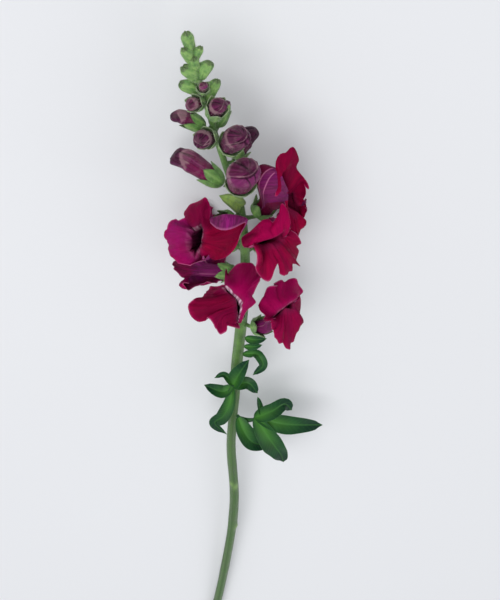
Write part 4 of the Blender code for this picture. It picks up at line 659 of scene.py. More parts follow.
def corolla_middle(seed, shape, ruffle_depth):
    """The petal sheet of an open floret and the values that its finish reads.

    Along the tube each ring grows from the base radius to the throat's, with a pouch below. Beyond the
    throat every meridian goes on for its own lip length while it turns outwards by the flare and then
    the curl. The lower lip is first lifted towards the upper one, which makes the palate that closes
    the mouth. Waves that grow towards the margin ruffle it, and its very edge rolls back."""
    angle, across, length, lobe, within = lobe_grid(shape["lobes"], shape["merged"])
    waves = np.random.default_rng(seed).uniform(0, 2 * np.pi, (2, 5))[:, lobe]
    phase = np.random.default_rng(seed + FINE_SEED).uniform(0, 2 * np.pi, (6, 5))[:, lobe]
    scallop = np.clip(1 - across**2, 0, 1) ** 0.5
    dents = np.abs(np.sin(2.7 * across + phase[0])) ** 0.6
    dents = dents + 0.5 * np.abs(np.sin(5.3 * across + phase[1])) ** 0.6
    length = length * shape["lip"]
    length = length * (1 + shape["dents"] * scallop * (dents - 1.0))
    round_y, round_z = np.cos(angle) * 0.92, np.sin(angle)
    tube_length = TUBE_LENGTH * shape["tube"]

    share = tube_shares()[:, None]
    radius = tube_radius(share) * np.clip(share / 0.05, 0, 1) ** 0.5
    radius = radius + TUBE_POUCH * bump(share, 0.22, 0.16) * np.clip(-round_z, 0, 1) ** 2
    from_top = (np.degrees(angle) - 90) % 360
    groove = bump(from_top, 0, 9) + bump(from_top, 360, 9)
    radius = radius * (1 - 0.05 * groove * smoothstep(share / 0.4) + 0.02 * np.cos(5 * angle) * share)
    tube = triple(tube_length * share, radius * round_y, radius * round_z)

    flare, curl = (
        by_lobe(np.repeat(shape[key], (2, 3)), lobe, across, 0.3) for key in ("flare", "curl")
    )
    steps = LIP_ROWS * LIP_PARTS
    run = (np.arange(steps)[:, None] + 0.5) / steps
    reached = run * length
    roll = EDGE_ROLL_DEG * smoothstep((run - 0.84) / 0.16) * np.sin(3.1 * across + phase[2])
    flared = THROAT_FLARE_DEG + (flare - THROAT_FLARE_DEG) * smoothstep(reached / 9)
    turn = np.radians(flared + curl * smoothstep((reached - 8) / 10) + roll)
    kept = slice(LIP_PARTS - 1, None, LIP_PARTS)
    forward = tube_length + np.cumsum(np.cos(turn) * length / steps, 0)[kept]
    outward = TUBE_THROAT_RADIUS + np.cumsum(np.sin(turn) * length / steps, 0)[kept]
    turn = turn[kept]
    run = (np.arange(LIP_ROWS)[:, None] + 1) / LIP_ROWS
    reached = run * length
    ruffle = LIP_WAVE * run**2 * (np.sin(2.8 * across + waves[0]) + 0.5 * np.sin(5.2 * across + waves[1]))
    ruffle = ruffle - LOBE_CUP * run**1.5 * across**2 * np.where(within, CUP_WITHIN, 1.0)
    frill = 0.9 * run**4 * np.sin(9.5 * across + phase[3]) + 0.55 * run**6 * np.sin(17 * across + phase[4])
    ruffle = ruffle + ruffle_depth * shape["frill"] * scallop * frill
    ruffle = ruffle - 0.55 * bump(across, 0, 0.16) * smoothstep(run / 0.3) * smoothstep((1 - run) / 0.4)
    pleats = scallop * smoothstep(run / 0.6) * np.sin(3.9 * across + phase[5] + 1.5 * run)
    ruffle = ruffle + shape["pleats"] * pleats
    x = forward - np.sin(turn) * ruffle
    radius = outward + np.cos(turn) * ruffle
    y, z = radius * round_y, radius * round_z
    hump = shape["closed"] * np.sin(np.pi * np.clip(reached / PALATE_LENGTH, 0, 1)) ** 2
    cleft = 1 - 0.10 * bump(np.degrees(angle), 270, 10)
    lift = cleft * hump * np.clip(-2 * z - MOUTH_GAP, 0, None)
    x = x + PALATE_SWELL * hump * np.clip(-round_z, 0, 1)
    sunk = -1.1 * shape["closed"] * bump(reached, 3.5, 2.6) * np.clip(round_z, 0, 1)
    lip = np.stack([x, y, z + np.where(z < 0, lift, sunk)], 2)

    tube_rows = share + 0 * angle
    along = np.concatenate([tube_rows * 0.45, 0.45 + 0.55 * run + 0 * angle])
    margin = np.concatenate([0 * tube_rows, smoothstep(1 - (1 - run) * length / MARGIN_WIDTH)])
    throat = np.concatenate([0 * tube_rows + 1, 1 - smoothstep((reached - 3) / 9)])
    seam = smoothstep((np.abs(across) - 0.86) / 0.14) * np.isin(lobe + (across > 0), (0, 2, 5))
    hue = np.array(np.broadcast_to(shape["hue"], (*along.shape, 3)), float)
    if shape["two_toned"]:
        seam = 0 * seam
        hue[along < 0.5, 2] = -1.0
    return np.concatenate([tube, lip]), {
        "grown": grown_round(angle, along),
        # magenta by lobe: partly the petal's own hue, partly painted sheen of glancing light
        "tone": triple(throat, margin, by_lobe(shape["magenta"], lobe, across)),
        # dark by lobe: painted shade where above 0, painted highlight where below 0
        "extra": triple(seam, by_lobe(shape["dark"], lobe, across), lobe < 2),
        "hue": hue,
    }


def on_disk(angle, run):
    """Places on a flower unrolled as a disk: its tube inside the throat's circle, its lips outside."""
    out = MARK_THROAT * (1 + run) + np.clip(run, 0, None) * (1 - 2 * MARK_THROAT)
    return np.stack([out * np.cos(angle), out * np.sin(angle)], -1)


def moved_to_marks(sheet, marks):
    """A petal sheet of the growing frame, bent so that its marked points lie where the marks say.

    Each mark's move spreads over the unrolled flower and falls off as (1 + q) e^-q, where q is 1.73
    times the distance over the reach. The weights are solved so that all marks are met at once and
    points round the tube's base stay, and the last of the move fades out towards that base."""
    angle = lobe_grid((1,) * 5, 0)[0]
    run = np.concatenate([tube_shares() - 1, (np.arange(LIP_ROWS) + 1) / LIP_ROWS])
    lobe, across, reached, *target = np.array(marks, float).T
    column = (lobe * LOBE_COLUMNS + np.round((across + 1) / 2 * LOBE_COLUMNS)).astype(int) % len(angle)
    row = np.abs(run[:, None] - reached).argmin(0)
    kept = np.arange(0, len(angle), 13)
    at = np.concatenate([on_disk(angle[column], run[row]), on_disk(angle[kept], np.full(len(kept), -0.8))])
    moves = np.concatenate([np.stack(target, 1) - sheet[row, column], np.zeros((len(kept), 3))])

    def felt(places, others):
        q = np.sqrt(3) * np.linalg.norm(places[..., None, :] - others, axis=-1) / MARK_REACH
        return (1 + q) * np.exp(-q)

    weights = np.linalg.solve(felt(at, at) + 1e-3 * np.eye(len(at)), moves)
    spread = felt(on_disk(angle[None, :], run[:, None]), at) @ weights
    return sheet + spread * smoothstep((run + 0.7) / 0.45)[:, None, None]


def corolla_skin(row, seed, thickness, ruffle_depth):
    """An open floret's corolla as a thin two-walled sheet, thinner at its margin."""
    name, y, azimuth, ascend, roll, pedicel, scale, shape = row
    origin, axes = frame_on_stem(y, azimuth, ascend, roll, pedicel, CALYX_HALF * scale)
    middle, marks = corolla_middle(seed, {**FLORET_DEFAULTS, **shape}, ruffle_depth)
    middle = origin + middle * scale @ axes
    if name in PETAL_MARKS:
        middle = moved_to_marks(middle, PETAL_MARKS[name])
    thick = thickness * (1 - 0.5 * marks["tone"][..., 1:2])
    return walled_skin(pressed(middle, FLOOR_CLEAR), thick, marks, 1)


def bud_radius(share, radius, blunt=0.62):
    """Radius of a closed bud: a quick rise, a slow swelling and an end rounded from the blunt share."""
    body = (1 - (1 - np.clip(share / 0.24, 0, 1)) ** 2) ** 0.5 * (0.74 + 0.26 * smoothstep(share / 0.75))
    end = np.sqrt(np.clip(1 - np.clip((share - blunt) / (1 - blunt), 0, 1) ** 2.3, 0, 1))
    return radius * body * end


def bud_skin(row, look, seed):
    """A closed bud: an egg with a blunt end whose upper lip is folded down like a hood over the lower.

    On the end a short crease parts the hood's two lobes from above. The hood's lower edge stands over
    the lower lip along a smile of a curve, q = 0.45 p^2 - 0.22, under which three lobes bulge. Broad
    folds sweep over the hood, and shallow creases run along the whole bud. Some buds end in a dark,
    slanting fold, and the small ones have a pale rim. The creases, grooves and fold troughs are marked
    dark as painted shade, the crests of the folds pale as painted highlight, and the pale rim is
    painted sheen of light grazing its down."""
    name, y, azimuth, ascend, roll, pedicel, length, radius, held = row
    origin, axes = frame_on_stem(y, azimuth, ascend, roll, pedicel, BUD_BASE_SHARE * radius)
    phase = np.random.default_rng(seed + BUD_SEED).uniform(0, 2 * np.pi, 6)
    angle = round_angles(BUD_COLUMNS)
    share = end_crowded(BUD_ROWS, 0.03, 0.998)
    around = bud_radius(share, radius, look["blunt"])
    out = np.where(share > 0.5, np.clip(around / radius, 0, 1), 1.0)
    turned = angle + look["turn"]
    p, q = out * np.cos(turned), out * np.sin(turned)
    on_end = smoothstep((share - 0.55) / 0.2)
    waved = p - 0.12 * np.sin(3.0 * q + phase[3])
    crease = bump(waved, 0, 0.06) * smoothstep((q - 0.12) / 0.25) * on_end
    smile = q + 0.22 - 0.45 * p**2 - 0.05 * np.sin(4 * p + phase[4])
    ledge = bump(smile, 0.07, 0.06) * on_end
    groove = bump(smile, -0.04, 0.035) * on_end
    under = smoothstep(-smile / 0.07) * on_end
    parted = (bump(p - 0.3 - 0.15 * q, 0, 0.05) + bump(p + 0.32 + 0.15 * q, 0, 0.05)) * under
    sweep = np.sin(5.2 * (p * np.cos(0.5 * q) + 0.25 * q) + phase[0]) * on_end * (1 - under)
    edge_fold = bump(p - 0.62 - 0.25 * q, 0, 0.05) * smoothstep((q + 0.3) / 0.3) * on_end
    rim = bump(out, 0.97, 0.05) * smoothstep((q + 0.35) / 0.3) * on_end
    creases = np.sin(9 * angle + 2 * share + phase[1]) + 0.6 * np.sin(14 * angle + phase[2])
    gather = bump(np.sin(turned + phase[5]), 0.3, 0.14) * smoothstep((share - 0.3) / 0.3) * (1 - on_end)
    push = (
        0.045 * ledge - 0.05 * groove - 0.03 * under - 0.06 * parted - 0.10 * crease + 0.028 * sweep
        + 0.05 * edge_fold + 0.02 * rim - 0.06 * gather
    )
    around = around * (1 + push * np.clip(out, 0.25, 1) + 0.012 * creases + 0.04 * np.cos(2 * angle))
    past = share - look["dark_end"] - 0.16 * np.sin(angle) + 0.03 * np.sin(3 * angle + 1)
    around = around * (1 + 0.06 * bump(past, 0, 0.06) - 0.05 * smoothstep(past / 0.1))
    droop = TIP_DROOP * length * smoothstep((share - 0.5) / 0.5) ** 2
    ahead = length * share + push * radius * np.sqrt(np.clip(1.05 - out**2, 0, 1))
    grid = triple(ahead, around * np.cos(angle), around * np.sin(angle) - droop)

    darker = 0.75 * smoothstep(past / 0.05)
    # painted shade: creases, grooves, the parting of the lower lobes, gathers and the troughs of the
    # sweeping folds, over the dark end
    dark = darker + crease + groove + parted + 0.5 * smoothstep((-sweep - 0.5) / 0.5) + 0.6 * gather
    # pale: the pale folded edges, with a painted highlight on the crests of the sweeping folds
    pale = np.clip(0.9 * edge_fold + 0.7 * ledge + 0.8 * rim + 0.25 * (sweep > 0.8), 0, 1)
    # rim_pale paints the sheen of light grazing the downy rim; face_pale is the face's own paler colour
    rim_pale, face_pale = look["pale"]
    on_rim = smoothstep((out - 0.86 + 0.07 * np.sin(2 * angle + phase[5])) / 0.1)
    soft = (face_pale + (rim_pale - face_pale) * on_rim) * (0.85 + 0.15 * np.sin(9 * angle)) * on_end
    pale = np.clip((pale + soft) * (1 - darker) + 0.45 * bump(past, -0.02, 0.025), 0, 1)
    return skin(origin + grid @ axes, {
        "grown": grown_round(angle, share),
        "tone": triple(share, pale, look["tint"]),
        "extra": triple(under, np.clip(dark, 0, 1), on_end),
    })


def calyx_skin(origin, axes, profile, seed, reach, sepal, open_by, lean=0.5, pointed=0.7, spin=0.0):
    """A calyx: a cup round the base of a corolla, ending in five pointed sepals.

    The profile gives the corolla's radius at a distance from its base. The cup's margin runs up to
    each sepal's tip and down to the notch between two, which is reach from the base. Each sepal has
    a raised rib, and its tip leans out."""
    draw = np.random.default_rng(seed + CALYX_SEED)
    angle = round_angles(CALYX_COLUMNS) + np.pi / 2
    turn = (angle - np.pi / 2) * 5 / (2 * np.pi) + spin
    in_sepal = np.abs((turn + 0.5) % 1 - 0.5) * 2
    which = np.round(turn).astype(int) % 5
    longer = draw.uniform(0.9, 1.12, 5)[which]
    leaning = draw.uniform(0.3, 1.2, 5)[which]
    ends = reach + sepal * longer * (1 - in_sepal) ** pointed
    share = np.linspace(0.01, 1, CALYX_ROWS)[:, None]
    x = -CALYX_GAP + (ends + CALYX_GAP) * share
    wide = profile(np.maximum(x, 0) + 0.25) + CALYX_GAP + SEPAL_THICK / 2
    wide = wide * np.clip(share / 0.1, 0, 1) ** 0.5
    wide = wide + (open_by + lean * leaning) * smoothstep((share - 0.4) / 0.6) * (1 - 0.6 * in_sepal)
    ribs = 0.22 * bump(in_sepal, 0, 0.22) - 0.18 * bump(in_sepal, 1, 0.2)
    wide = wide + ribs * smoothstep(share / 0.3)
    middle = triple(x, wide * np.cos(angle), wide * np.sin(angle))
    edge = np.maximum(smoothstep((in_sepal - 0.78) / 0.22), smoothstep((share - 0.86) / 0.14))
    thick = SEPAL_THICK * (1 - 0.45 * smoothstep((share - 0.5) / 0.5))[..., None]
    return walled_skin(origin + middle @ axes, thick, {
        "grown": grown_round(angle, share),
        "tone": triple(share, edge, bump(in_sepal, 0, 0.2)),
    }, 0)


def leaf_skin(width, fold, facing, line, seed, thickness):
    """A leaf along its line. Each section is a loop: over the upper face and back along the lower.

    It is widest a third of the way up and narrows to its stalk and to a point. Its two halves fold up
    from a sunken rib, the blade swells between the side veins, and its margins wave."""
    phase = np.random.default_rng(seed + LEAF_SEED).uniform(0, 2 * np.pi)
    sampled = catmull_rom(line, 0.5)
    steps = lengths_along(sampled)
    size = steps[-1]
    s = np.linspace(0, 1, LEAF_ROWS)[:, None]
    centre = np.stack([np.interp(s[:, 0] * size, steps, column) for column in sampled.T], 1)
    ahead = unit(np.gradient(centre, axis=0))
    sideways = unit(np.cross(ahead, unit(np.array(facing, float))))
    normal = np.cross(sideways, ahead)
    half = width / 2 * (0.14 + 0.86 * np.sin(np.pi * s**0.8) ** 0.75)
    half = np.maximum(half * np.clip((1.015 - s) / 0.13, 0, 1) ** 0.7, 0.16)
    place = np.sin(np.linspace(-0.5, 0.5, LEAF_ACROSS) * np.pi)[None, :]
    far, side = np.abs(place), np.sign(place)
    veins = np.abs(((s * size / VEIN_STEP - far * half * 0.28 + 0.25 * side) % 1) - 0.5) * 2
    swell = 0.10 * smoothstep(veins * 1.4) * far * (1 - far) * 4 * smoothstep(half / 2)
    wave = 0.05 * width * far**2 * np.sin(s * size / 3.1 + side * 1.1 + phase) * np.sin(np.pi * s)
    rib = -0.32 * bump(place * half, 0, 0.55) * smoothstep(half / 1.5)
    rise = fold * half * far**1.3 + swell + wave + rib
    spread = sideways[:, None, :] * (half * place)[:, :, None]
    middle = centre[:, None, :] + spread + normal[:, None, :] * rise[:, :, None]
    thick = thickness * (0.3 + 0.7 * (1 - far**3)) * (0.35 + 0.65 * np.clip((1 - s) / 0.2, 0, 1))
    keel = 0.45 * bump(place * half, 0, 0.6) * smoothstep(half / 1.5)
    upright = normals_of(middle, False)
    upright = upright * np.sign(np.einsum("ijk,ik->ij", upright, normal).mean())
    top = middle + upright * (thick / 2)[..., None]
    bottom = middle - upright * (thick / 2 + keel)[..., None]
    across = np.concatenate([place, place[:, ::-1]], 1)
    under = np.repeat((0.0, 1.0), LEAF_ACROSS)[None, :]
    return skin(np.concatenate([top, bottom[:, ::-1]], 1), {
        "grown": triple(across * half, s * size, under),
        "tone": triple(s, np.abs(across), under),
    })


def rings_on(line, columns):
    """Angles round a line, its directions, and unit vectors square to it at each of those angles."""
    ahead = unit(np.gradient(line, axis=0))
    guide = (0.0, 0.0, 1.0) if abs(ahead[0][2]) < 0.9 else (1.0, 0.0, 0.0)
    side = unit(np.cross(ahead, guide))
    up = np.cross(side, ahead)
    angle = round_angles(columns)
    ring = side[:, None, :] * np.cos(angle)[..., None] + up[:, None, :] * np.sin(angle)[..., None]
    return angle, ahead, ring


def rod_skin(line, radii, columns, flute=0.0):
    """A round rod along a line: each ring stands square to it, and is fluted a little."""
    angle, ahead, ring = rings_on(line, columns)
    wide = radii[:, None] * (1 + flute * np.cos(4 * angle))
    length = lengths_along(line)[:, None]
    return skin(line[:, None, :] + ring * wide[..., None], {
        "grown": grown_round(angle, length),
        "tone": triple(length / length[-1], 0, 0),
    })


def stem_skin():
    """The stem: rings along its smooth centre line with four soft ridges, a slanted cut at the lower
    end, and a low mound for each scar."""
    line = catmull_rom(STEM_ROUTE, 1.6)
    centre, radius = line[:, :3], line[:, 3]
    angle, ahead, ring = rings_on(centre, STEM_COLUMNS)
    y = centre[:, 1:2]
    ridges = 0.035 * np.cos(4 * angle + 0.6 * np.sin(y / 60)) + 0.012 * np.sin(7 * angle + y / 40)
    uneven = 0.018 * np.sin(y / 11) + 0.012 * np.sin(y / 5.3 + 1)
    wide = radius[:, None] * (1 + ridges + uneven)
    scar = 0 * wide
    for height, azimuth, out, tall in STEM_SCARS:
        turned = (angle - math.radians(azimuth) + np.pi) % (2 * np.pi) - np.pi
        mound = bump(y, height, tall) * bump(turned, 0, 0.75)
        wide = wide + out * mound
        scar = np.maximum(scar, mound)
    low, high = STEM_ROUTE[0][1], STEM_ROUTE[-1][1]
    cut = smoothstep((low + CUT_REACH - y) / CUT_REACH)
    slant = (ring[..., 0] * 0.35 + ring[..., 2] * 0.5) * wide * cut
    grid = centre[:, None, :] + ring * wide[..., None] + ahead[:, None, :] * np.maximum(slant, 0)[..., None]
    return skin(pressed(grid, 0.02), {
        "grown": grown_round(angle, y),
        "tone": triple((y - low) / (high - low), scar, 0),
    })


def stalk_skins():
    """The short stalk of each floret and bud, from inside the stem to just under its calyx."""
    rows = [(r[1], r[2], r[3], r[5], CALYX_HALF * r[6], PEDICEL_RADIUS) for r in FLORETS]
    rows += [(r[1], r[2], r[3], r[5], BUD_BASE_SHARE * r[7], PEDICEL_RADIUS * 0.8) for r in BUDS]
    made = []
    for y, azimuth, ascend, pedicel, half, radius in rows:
        origin, axes = frame_on_stem(y, azimuth, ascend, 0, pedicel, half)
        end = origin - axes[0] * (CALYX_GAP + SEPAL_THICK + PEDICEL_GAP)
        bend = end - axes[0] * 1.2
        centre = stem_at(y)[0]
        start = centre + (bend - centre) * 0.15
        line = catmull_rom([start, start * 0.45 + bend * 0.55, bend, end], 0.7)
        share = np.linspace(0, 1, len(line))
        radii = radius * (1.45 - 0.5 * smoothstep(share / 0.6) + 0.35 * smoothstep((share - 0.8) / 0.2))
        made.append(rod_skin(line, radii, 18, 0.03))
    return made


def green_bud_skin(row, seed):
    """A green bud wrapped in its five sepals: an egg with a valley between each two of them and a
    rib down the middle of each, which run together to a dark pointed tip."""
    y, azimuth, ascend, length, radius = row
    origin, axes = frame_on_stem(y, azimuth, ascend, 0, -0.8, 0.0)
    twist = 0.2 * np.random.default_rng(seed + GREEN_BUD_SEED).uniform(0, 2 * np.pi)
    angle = round_angles(GREEN_BUD_COLUMNS)
    share = end_crowded(GREEN_BUD_ROWS, 0.03, 0.99)
    in_sepal = np.abs(((angle + twist) * 5 / (2 * np.pi) + 0.6 * share) % 1 - 0.5) * 2
    valley = bump(in_sepal, 1, 0.2) * smoothstep(share / 0.25)
    rib = bump(in_sepal, 0, 0.2) * smoothstep(share / 0.3)
    around = bud_radius(share, radius) * (1 - 0.10 * valley + 0.04 * rib)
    point = 0.10 * length * smoothstep((share - 0.82) / 0.18) * (1 - in_sepal)
    droop = TIP_DROOP * length * smoothstep((share - 0.5) / 0.5) ** 2
    grid = triple(length * share + point, around * np.cos(angle), around * np.sin(angle) - droop)
    edge = np.maximum(0.75 * valley, smoothstep((share - 0.84) / 0.12))
    return skin(origin + grid @ axes, {
        "grown": grown_round(angle, share),
        "tone": triple(share, edge, rib),
    })


def hairs_on(grid_skin, count, length, seed, keep):
    """Fine hairs on a skin: thin three-sided spikes that stand on randomly drawn squares of it.

    Each spike is three points round its foot, sunk a little, and one at its tip, which leans."""
    draw = np.random.default_rng(seed)
    quads = grid_skin["quads"]
    if keep is not None:
        quads = quads[keep(grid_skin)]
    corner = grid_skin["points"][quads]
    cross = np.cross(corner[:, 2] - corner[:, 0], corner[:, 3] - corner[:, 1])
    area = np.linalg.norm(cross, axis=1)
    chosen = draw.choice(len(quads), count, p=area / area.sum())
    normal = cross[chosen] / area[chosen][:, None]
    u, v = draw.uniform(0, 1, (2, count, 1))
    near = corner[chosen]
    foot = (near[:, 0] * (1 - u) + near[:, 1] * u) * (1 - v) + (near[:, 3] * (1 - u) + near[:, 2] * u) * v
    lean = draw.normal(0, 0.35, (count, 3))
    tip = foot + (normal + lean) * length * draw.uniform(0.6, 1.25, (count, 1))
    side = unit(np.cross(normal, [0.31, 0.52, 0.79]))
    other = np.cross(normal, side)
    sunk = foot - normal * HAIR_SUNK
    feet = [
        sunk + HAIR_RADIUS * (side * math.cos(t) + other * math.sin(t))
        for t in (0.0, math.tau / 3, math.tau * 2 / 3)
    ]
    start = np.arange(count)[:, None] * 4
    tris = np.concatenate([start + k for k in ((0, 1, 3), (1, 2, 3), (2, 0, 3), (2, 1, 0))])
    return {
        "points": np.stack([*feet, tip], 1).reshape(-1, 3),
        "quads": np.zeros((0, 4), int),
        "tris": tris,
        "marks": {"tone": np.tile(triple((0.0, 0.0, 0.0, 1.0), 0, 0), (count, 1))},
        "slots": np.zeros(len(tris), int),
    }


def put(value, socket):
    """Links a value to a socket, or sets a number or a colour on it."""
    if isinstance(value, Value):
        socket.id_data.links.new(value.socket, socket)
    elif hasattr(value, "__len__"):
        socket.default_value = (*value[:3], 1.0)
    else:
        socket.default_value = value


def node(tree, kind, settings=None, **inputs):
    """A shader node with its settings and its inputs, whose names have _ for spaces. It stands to the
    right of the ones before."""
    made = tree.nodes.new(kind)
    made.location = (200 * len(tree.nodes), 0)
    for key, value in (settings or {}).items():
        setattr(made, key, value)
    for key, value in inputs.items():
        put(value, made.inputs[key.replace("_", " ")])
    return made


class Value:
    """What a node gives. Sums with it add the Math nodes that reckon them."""

    def __init__(self, socket):
        self.socket = socket

    def reckoned(self, operation, first, second=0.0):
        made = node(self.socket.id_data, "ShaderNodeMath", {"operation": operation})
        put(first, made.inputs[0])
        put(second, made.inputs[1])
        return Value(made.outputs[0])

    def __add__(self, other):
        return self.reckoned("ADD", self, other)

    def __sub__(self, other):
        return self.reckoned("SUBTRACT", self, other)

    def __rsub__(self, other):
        return self.reckoned("SUBTRACT", other, self)

    def __mul__(self, other):
        return self.reckoned("MULTIPLY", self, other)

    def __truediv__(self, other):
        return self.reckoned("DIVIDE", self, other)

    def __abs__(self):
        return self.reckoned("ABSOLUTE", self)

    def or_more(self, other):
        """The larger one of two values."""
        return self.reckoned("MAXIMUM", self, other)

    def held(self):
        """The same sum, held between 0 and 1."""
        self.socket.node.use_clamp = True
        return self

    def span(self, low, high, to_low=0.0, to_high=1.0):
        """Mapped smoothly from the span low to high on to another, and held within it."""
        made = node(
            self.socket.id_data, "ShaderNodeMapRange", {"clamp": True, "interpolation_type": "SMOOTHSTEP"},
            Value=self, From_Min=low, From_Max=high, To_Min=to_low, To_Max=to_high,
        )
        return Value(made.outputs["Result"])


def given_by(made):
    """The outputs of a node, by name."""
    return {socket.name: Value(socket) for socket in made.outputs}


def mixed(factor, first, second):
    """A mix of two colours by a value."""
    made = node(factor.socket.id_data, "ShaderNodeMix", {"data_type": "RGBA"})
    for place, value in ((0, factor), (6, first), (7, second)):
        put(value, made.inputs[place])
    return Value(made.outputs[2])


def layered(colour, *layers):
    """A colour with others laid over it, each by its own value."""
    for factor, over in layers:
        colour = mixed(factor, colour, over)
    return colour


def new_group(name, values, results):
    """A node group that takes a vector and the named values: its tree, what it is given, its results."""
    tree = bpy.data.node_groups.new(name, "ShaderNodeTree")
    tree.interface.new_socket("Vector", in_out="INPUT", socket_type="NodeSocketVector")
    for key, value in values.items():
        tree.interface.new_socket(key, in_out="INPUT", socket_type="NodeSocketFloat").default_value = value
    for key in results:
        tree.interface.new_socket(key, in_out="OUTPUT", socket_type="NodeSocketFloat")
    return tree, given_by(node(tree, "NodeGroupInput")), node(tree, "NodeGroupOutput").inputs


def noise(tree, vector, **inputs):
    """Smooth noise from 0 to 1."""
    return given_by(node(tree, "ShaderNodeTexNoise", Vector=vector, **inputs))["Fac"]


def streaks_group():
    """Streaks that run along a petal or a stem: noise that changes fast round it and slowly along it,
    thinned to lines, and broad soft bands under them."""
    values = {"Round": 20.0, "Along": 3.0, "Sharpness": 0.08}
    tree, given, results = new_group("grown_streaks", values, ("Lines", "Bands", "Height"))
    scale = node(tree, "ShaderNodeCombineXYZ", X=given["Round"], Y=given["Round"], Z=given["Along"])
    times = node(tree, "ShaderNodeVectorMath", {"operation": "MULTIPLY"})
    put(given["Vector"], times.inputs[0])
    put(Value(scale.outputs["Vector"]), times.inputs[1])
    vector = Value(times.outputs[0])
    fine = noise(tree, vector, Scale=1.0, Detail=3.0, Roughness=0.55, Distortion=0.6)
    broad = noise(tree, vector, Scale=0.28, Detail=2.0)
    lines = (1.0 - abs(fine - 0.5) / given["Sharpness"]).held()
    put(lines, results["Lines"])
    put(broad.span(0.3, 0.7), results["Bands"])
    put(lines * 0.6 + fine, results["Height"])
    return tree


def mottle_group():
    """Mottling of plant tissue: broad soft patches, and fine grain for the skin's cells."""
    values = {"Patches": 120.0, "Grain": 1800.0}
    tree, given, results = new_group("tissue_mottle", values, ("Patchy", "Grainy"))
    patches = noise(tree, given["Vector"], Scale=given["Patches"], Detail=4.0, Roughness=0.6)
    put(patches.span(0.3, 0.7), results["Patchy"])
    put(noise(tree, given["Vector"], Scale=given["Grain"], Detail=1.0), results["Grainy"])
    return tree


class Finish:
    """A material in the making, with mottling of some patches and grain, and streaks if there are any.

    It reads the mesh's marks. grown says how a piece grew: the cosine and sine round it, and the share
    or length along it, or on a leaf the millimetres across and along it. tone, extra and hue differ
    from piece to piece, and each finish names what they hold."""

    def __init__(self, name, mottle=None, patches=0.0, grain=0.0, streaks=None, **lines):
        self.material = bpy.data.materials.new(name)
        self.material.use_nodes = True
        self.tree = self.material.node_tree
        self.shader = self.tree.nodes["Principled BSDF"].inputs
        if mottle:
            spots = self.grouped(mottle, self.place(), Patches=patches, Grain=grain)
            self.patchy, self.grainy = spots["Patchy"], spots["Grainy"]
        if streaks:
            grown = node(self.tree, "ShaderNodeAttribute", {"attribute_name": "grown"})
            made = self.grouped(streaks, given_by(grown)["Vector"], **lines)
            self.lines, self.bands, self.height = made["Lines"], made["Bands"], made["Height"]

    def place(self):
        return given_by(node(self.tree, "ShaderNodeTexCoord"))["Object"]

    def grouped(self, group, vector, **values):
        return given_by(node(self.tree, "ShaderNodeGroup", {"node_tree": group}, Vector=vector, **values))

    def mark(self, name):
        """The three values of one of the mesh's marks."""
        read = node(self.tree, "ShaderNodeAttribute", {"attribute_name": name})
        apart = node(self.tree, "ShaderNodeSeparateXYZ", Vector=given_by(read)["Vector"])
        return [Value(socket) for socket in apart.outputs]

    def done(self, colour, rough, relief, distance, strength, **inputs):
        """The material, with its colour, roughness from patch to patch, relief and other inputs."""
        self.set(Base_Color=colour, Roughness=self.patchy.span(0.0, 1.0, *rough), **inputs)
        made = node(self.tree, "ShaderNodeBump", Height=relief, Strength=strength, Distance=distance)
        return self.set(Normal=Value(made.outputs["Normal"]))

    def set(self, **inputs):
        for key, value in inputs.items():
            put(value, self.shader[key.replace("_", " ")])
        return self.material


def petal_inner_finish(settings, streaks, mottle):
    """Velvet inner face of a petal: crimson, more magenta by lobe, with darker veins, a paler palate
    and a bright thin margin. The magenta is partly painted sheen of glancing light. Lobes marked dark
    get painted shade, lobes marked below 0 and the band along the margin get a painted highlight, and
    deep in the tube the face is painted dark plum as shade."""
    made = Finish("petal_velvet", mottle, 70.0, 1500.0, streaks, Round=26.0, Along=5.0, Sharpness=0.05)
    throat, margin, magenta = made.mark("tone")
    _, dark, upper = made.mark("extra")
    pale = throat.span(0.9, 0.98) * made.mark("hue")[0] * (upper * 0.75 + 0.15)
    crimson = mixed(made.bands * 0.55 + made.patchy * 0.45, settings.crimson_deep, settings.crimson)
    rosy = mixed(made.patchy, settings.magenta_deep, settings.magenta)
    colour = layered(
        # magenta by lobe: partly the petal's own hue, partly painted sheen of glancing light
        mixed(magenta, crimson, rosy),
        (made.patchy * 0.5, settings.crimson_deep),
        (made.lines * 0.3, settings.crimson_vein_and_shade),
        # painted shade on lobes marked dark; painted highlight on lobes marked below 0 and along the margin
        ((dark * 1.0).held(), settings.crimson_vein_and_shade),
        ((margin * 0.35).or_more((dark * -1.0).held()), settings.petal_highlight),
        (margin.span(0.85, 1.0) * made.patchy * 0.7, settings.petal_edge),
        (throat.span(0.55, 1.0) * 0.35, settings.throat),
        (pale, mixed(made.bands, settings.palate, settings.throat)),
        # painted shade: the inner face deep inside the tube is painted dark plum
        (1.0 - made.mark("grown")[2].span(0.26, 0.44), settings.plum_dark),
    )
    return made.done(
        colour, (0.5, 0.68), made.height + made.grainy * 0.25, 0.00025, 0.6, Specular_IOR_Level=0.04,
        Sheen_Weight=0.02, Sheen_Roughness=0.35, Sheen_Tint=(1.0, 0.1, 0.4),
    )


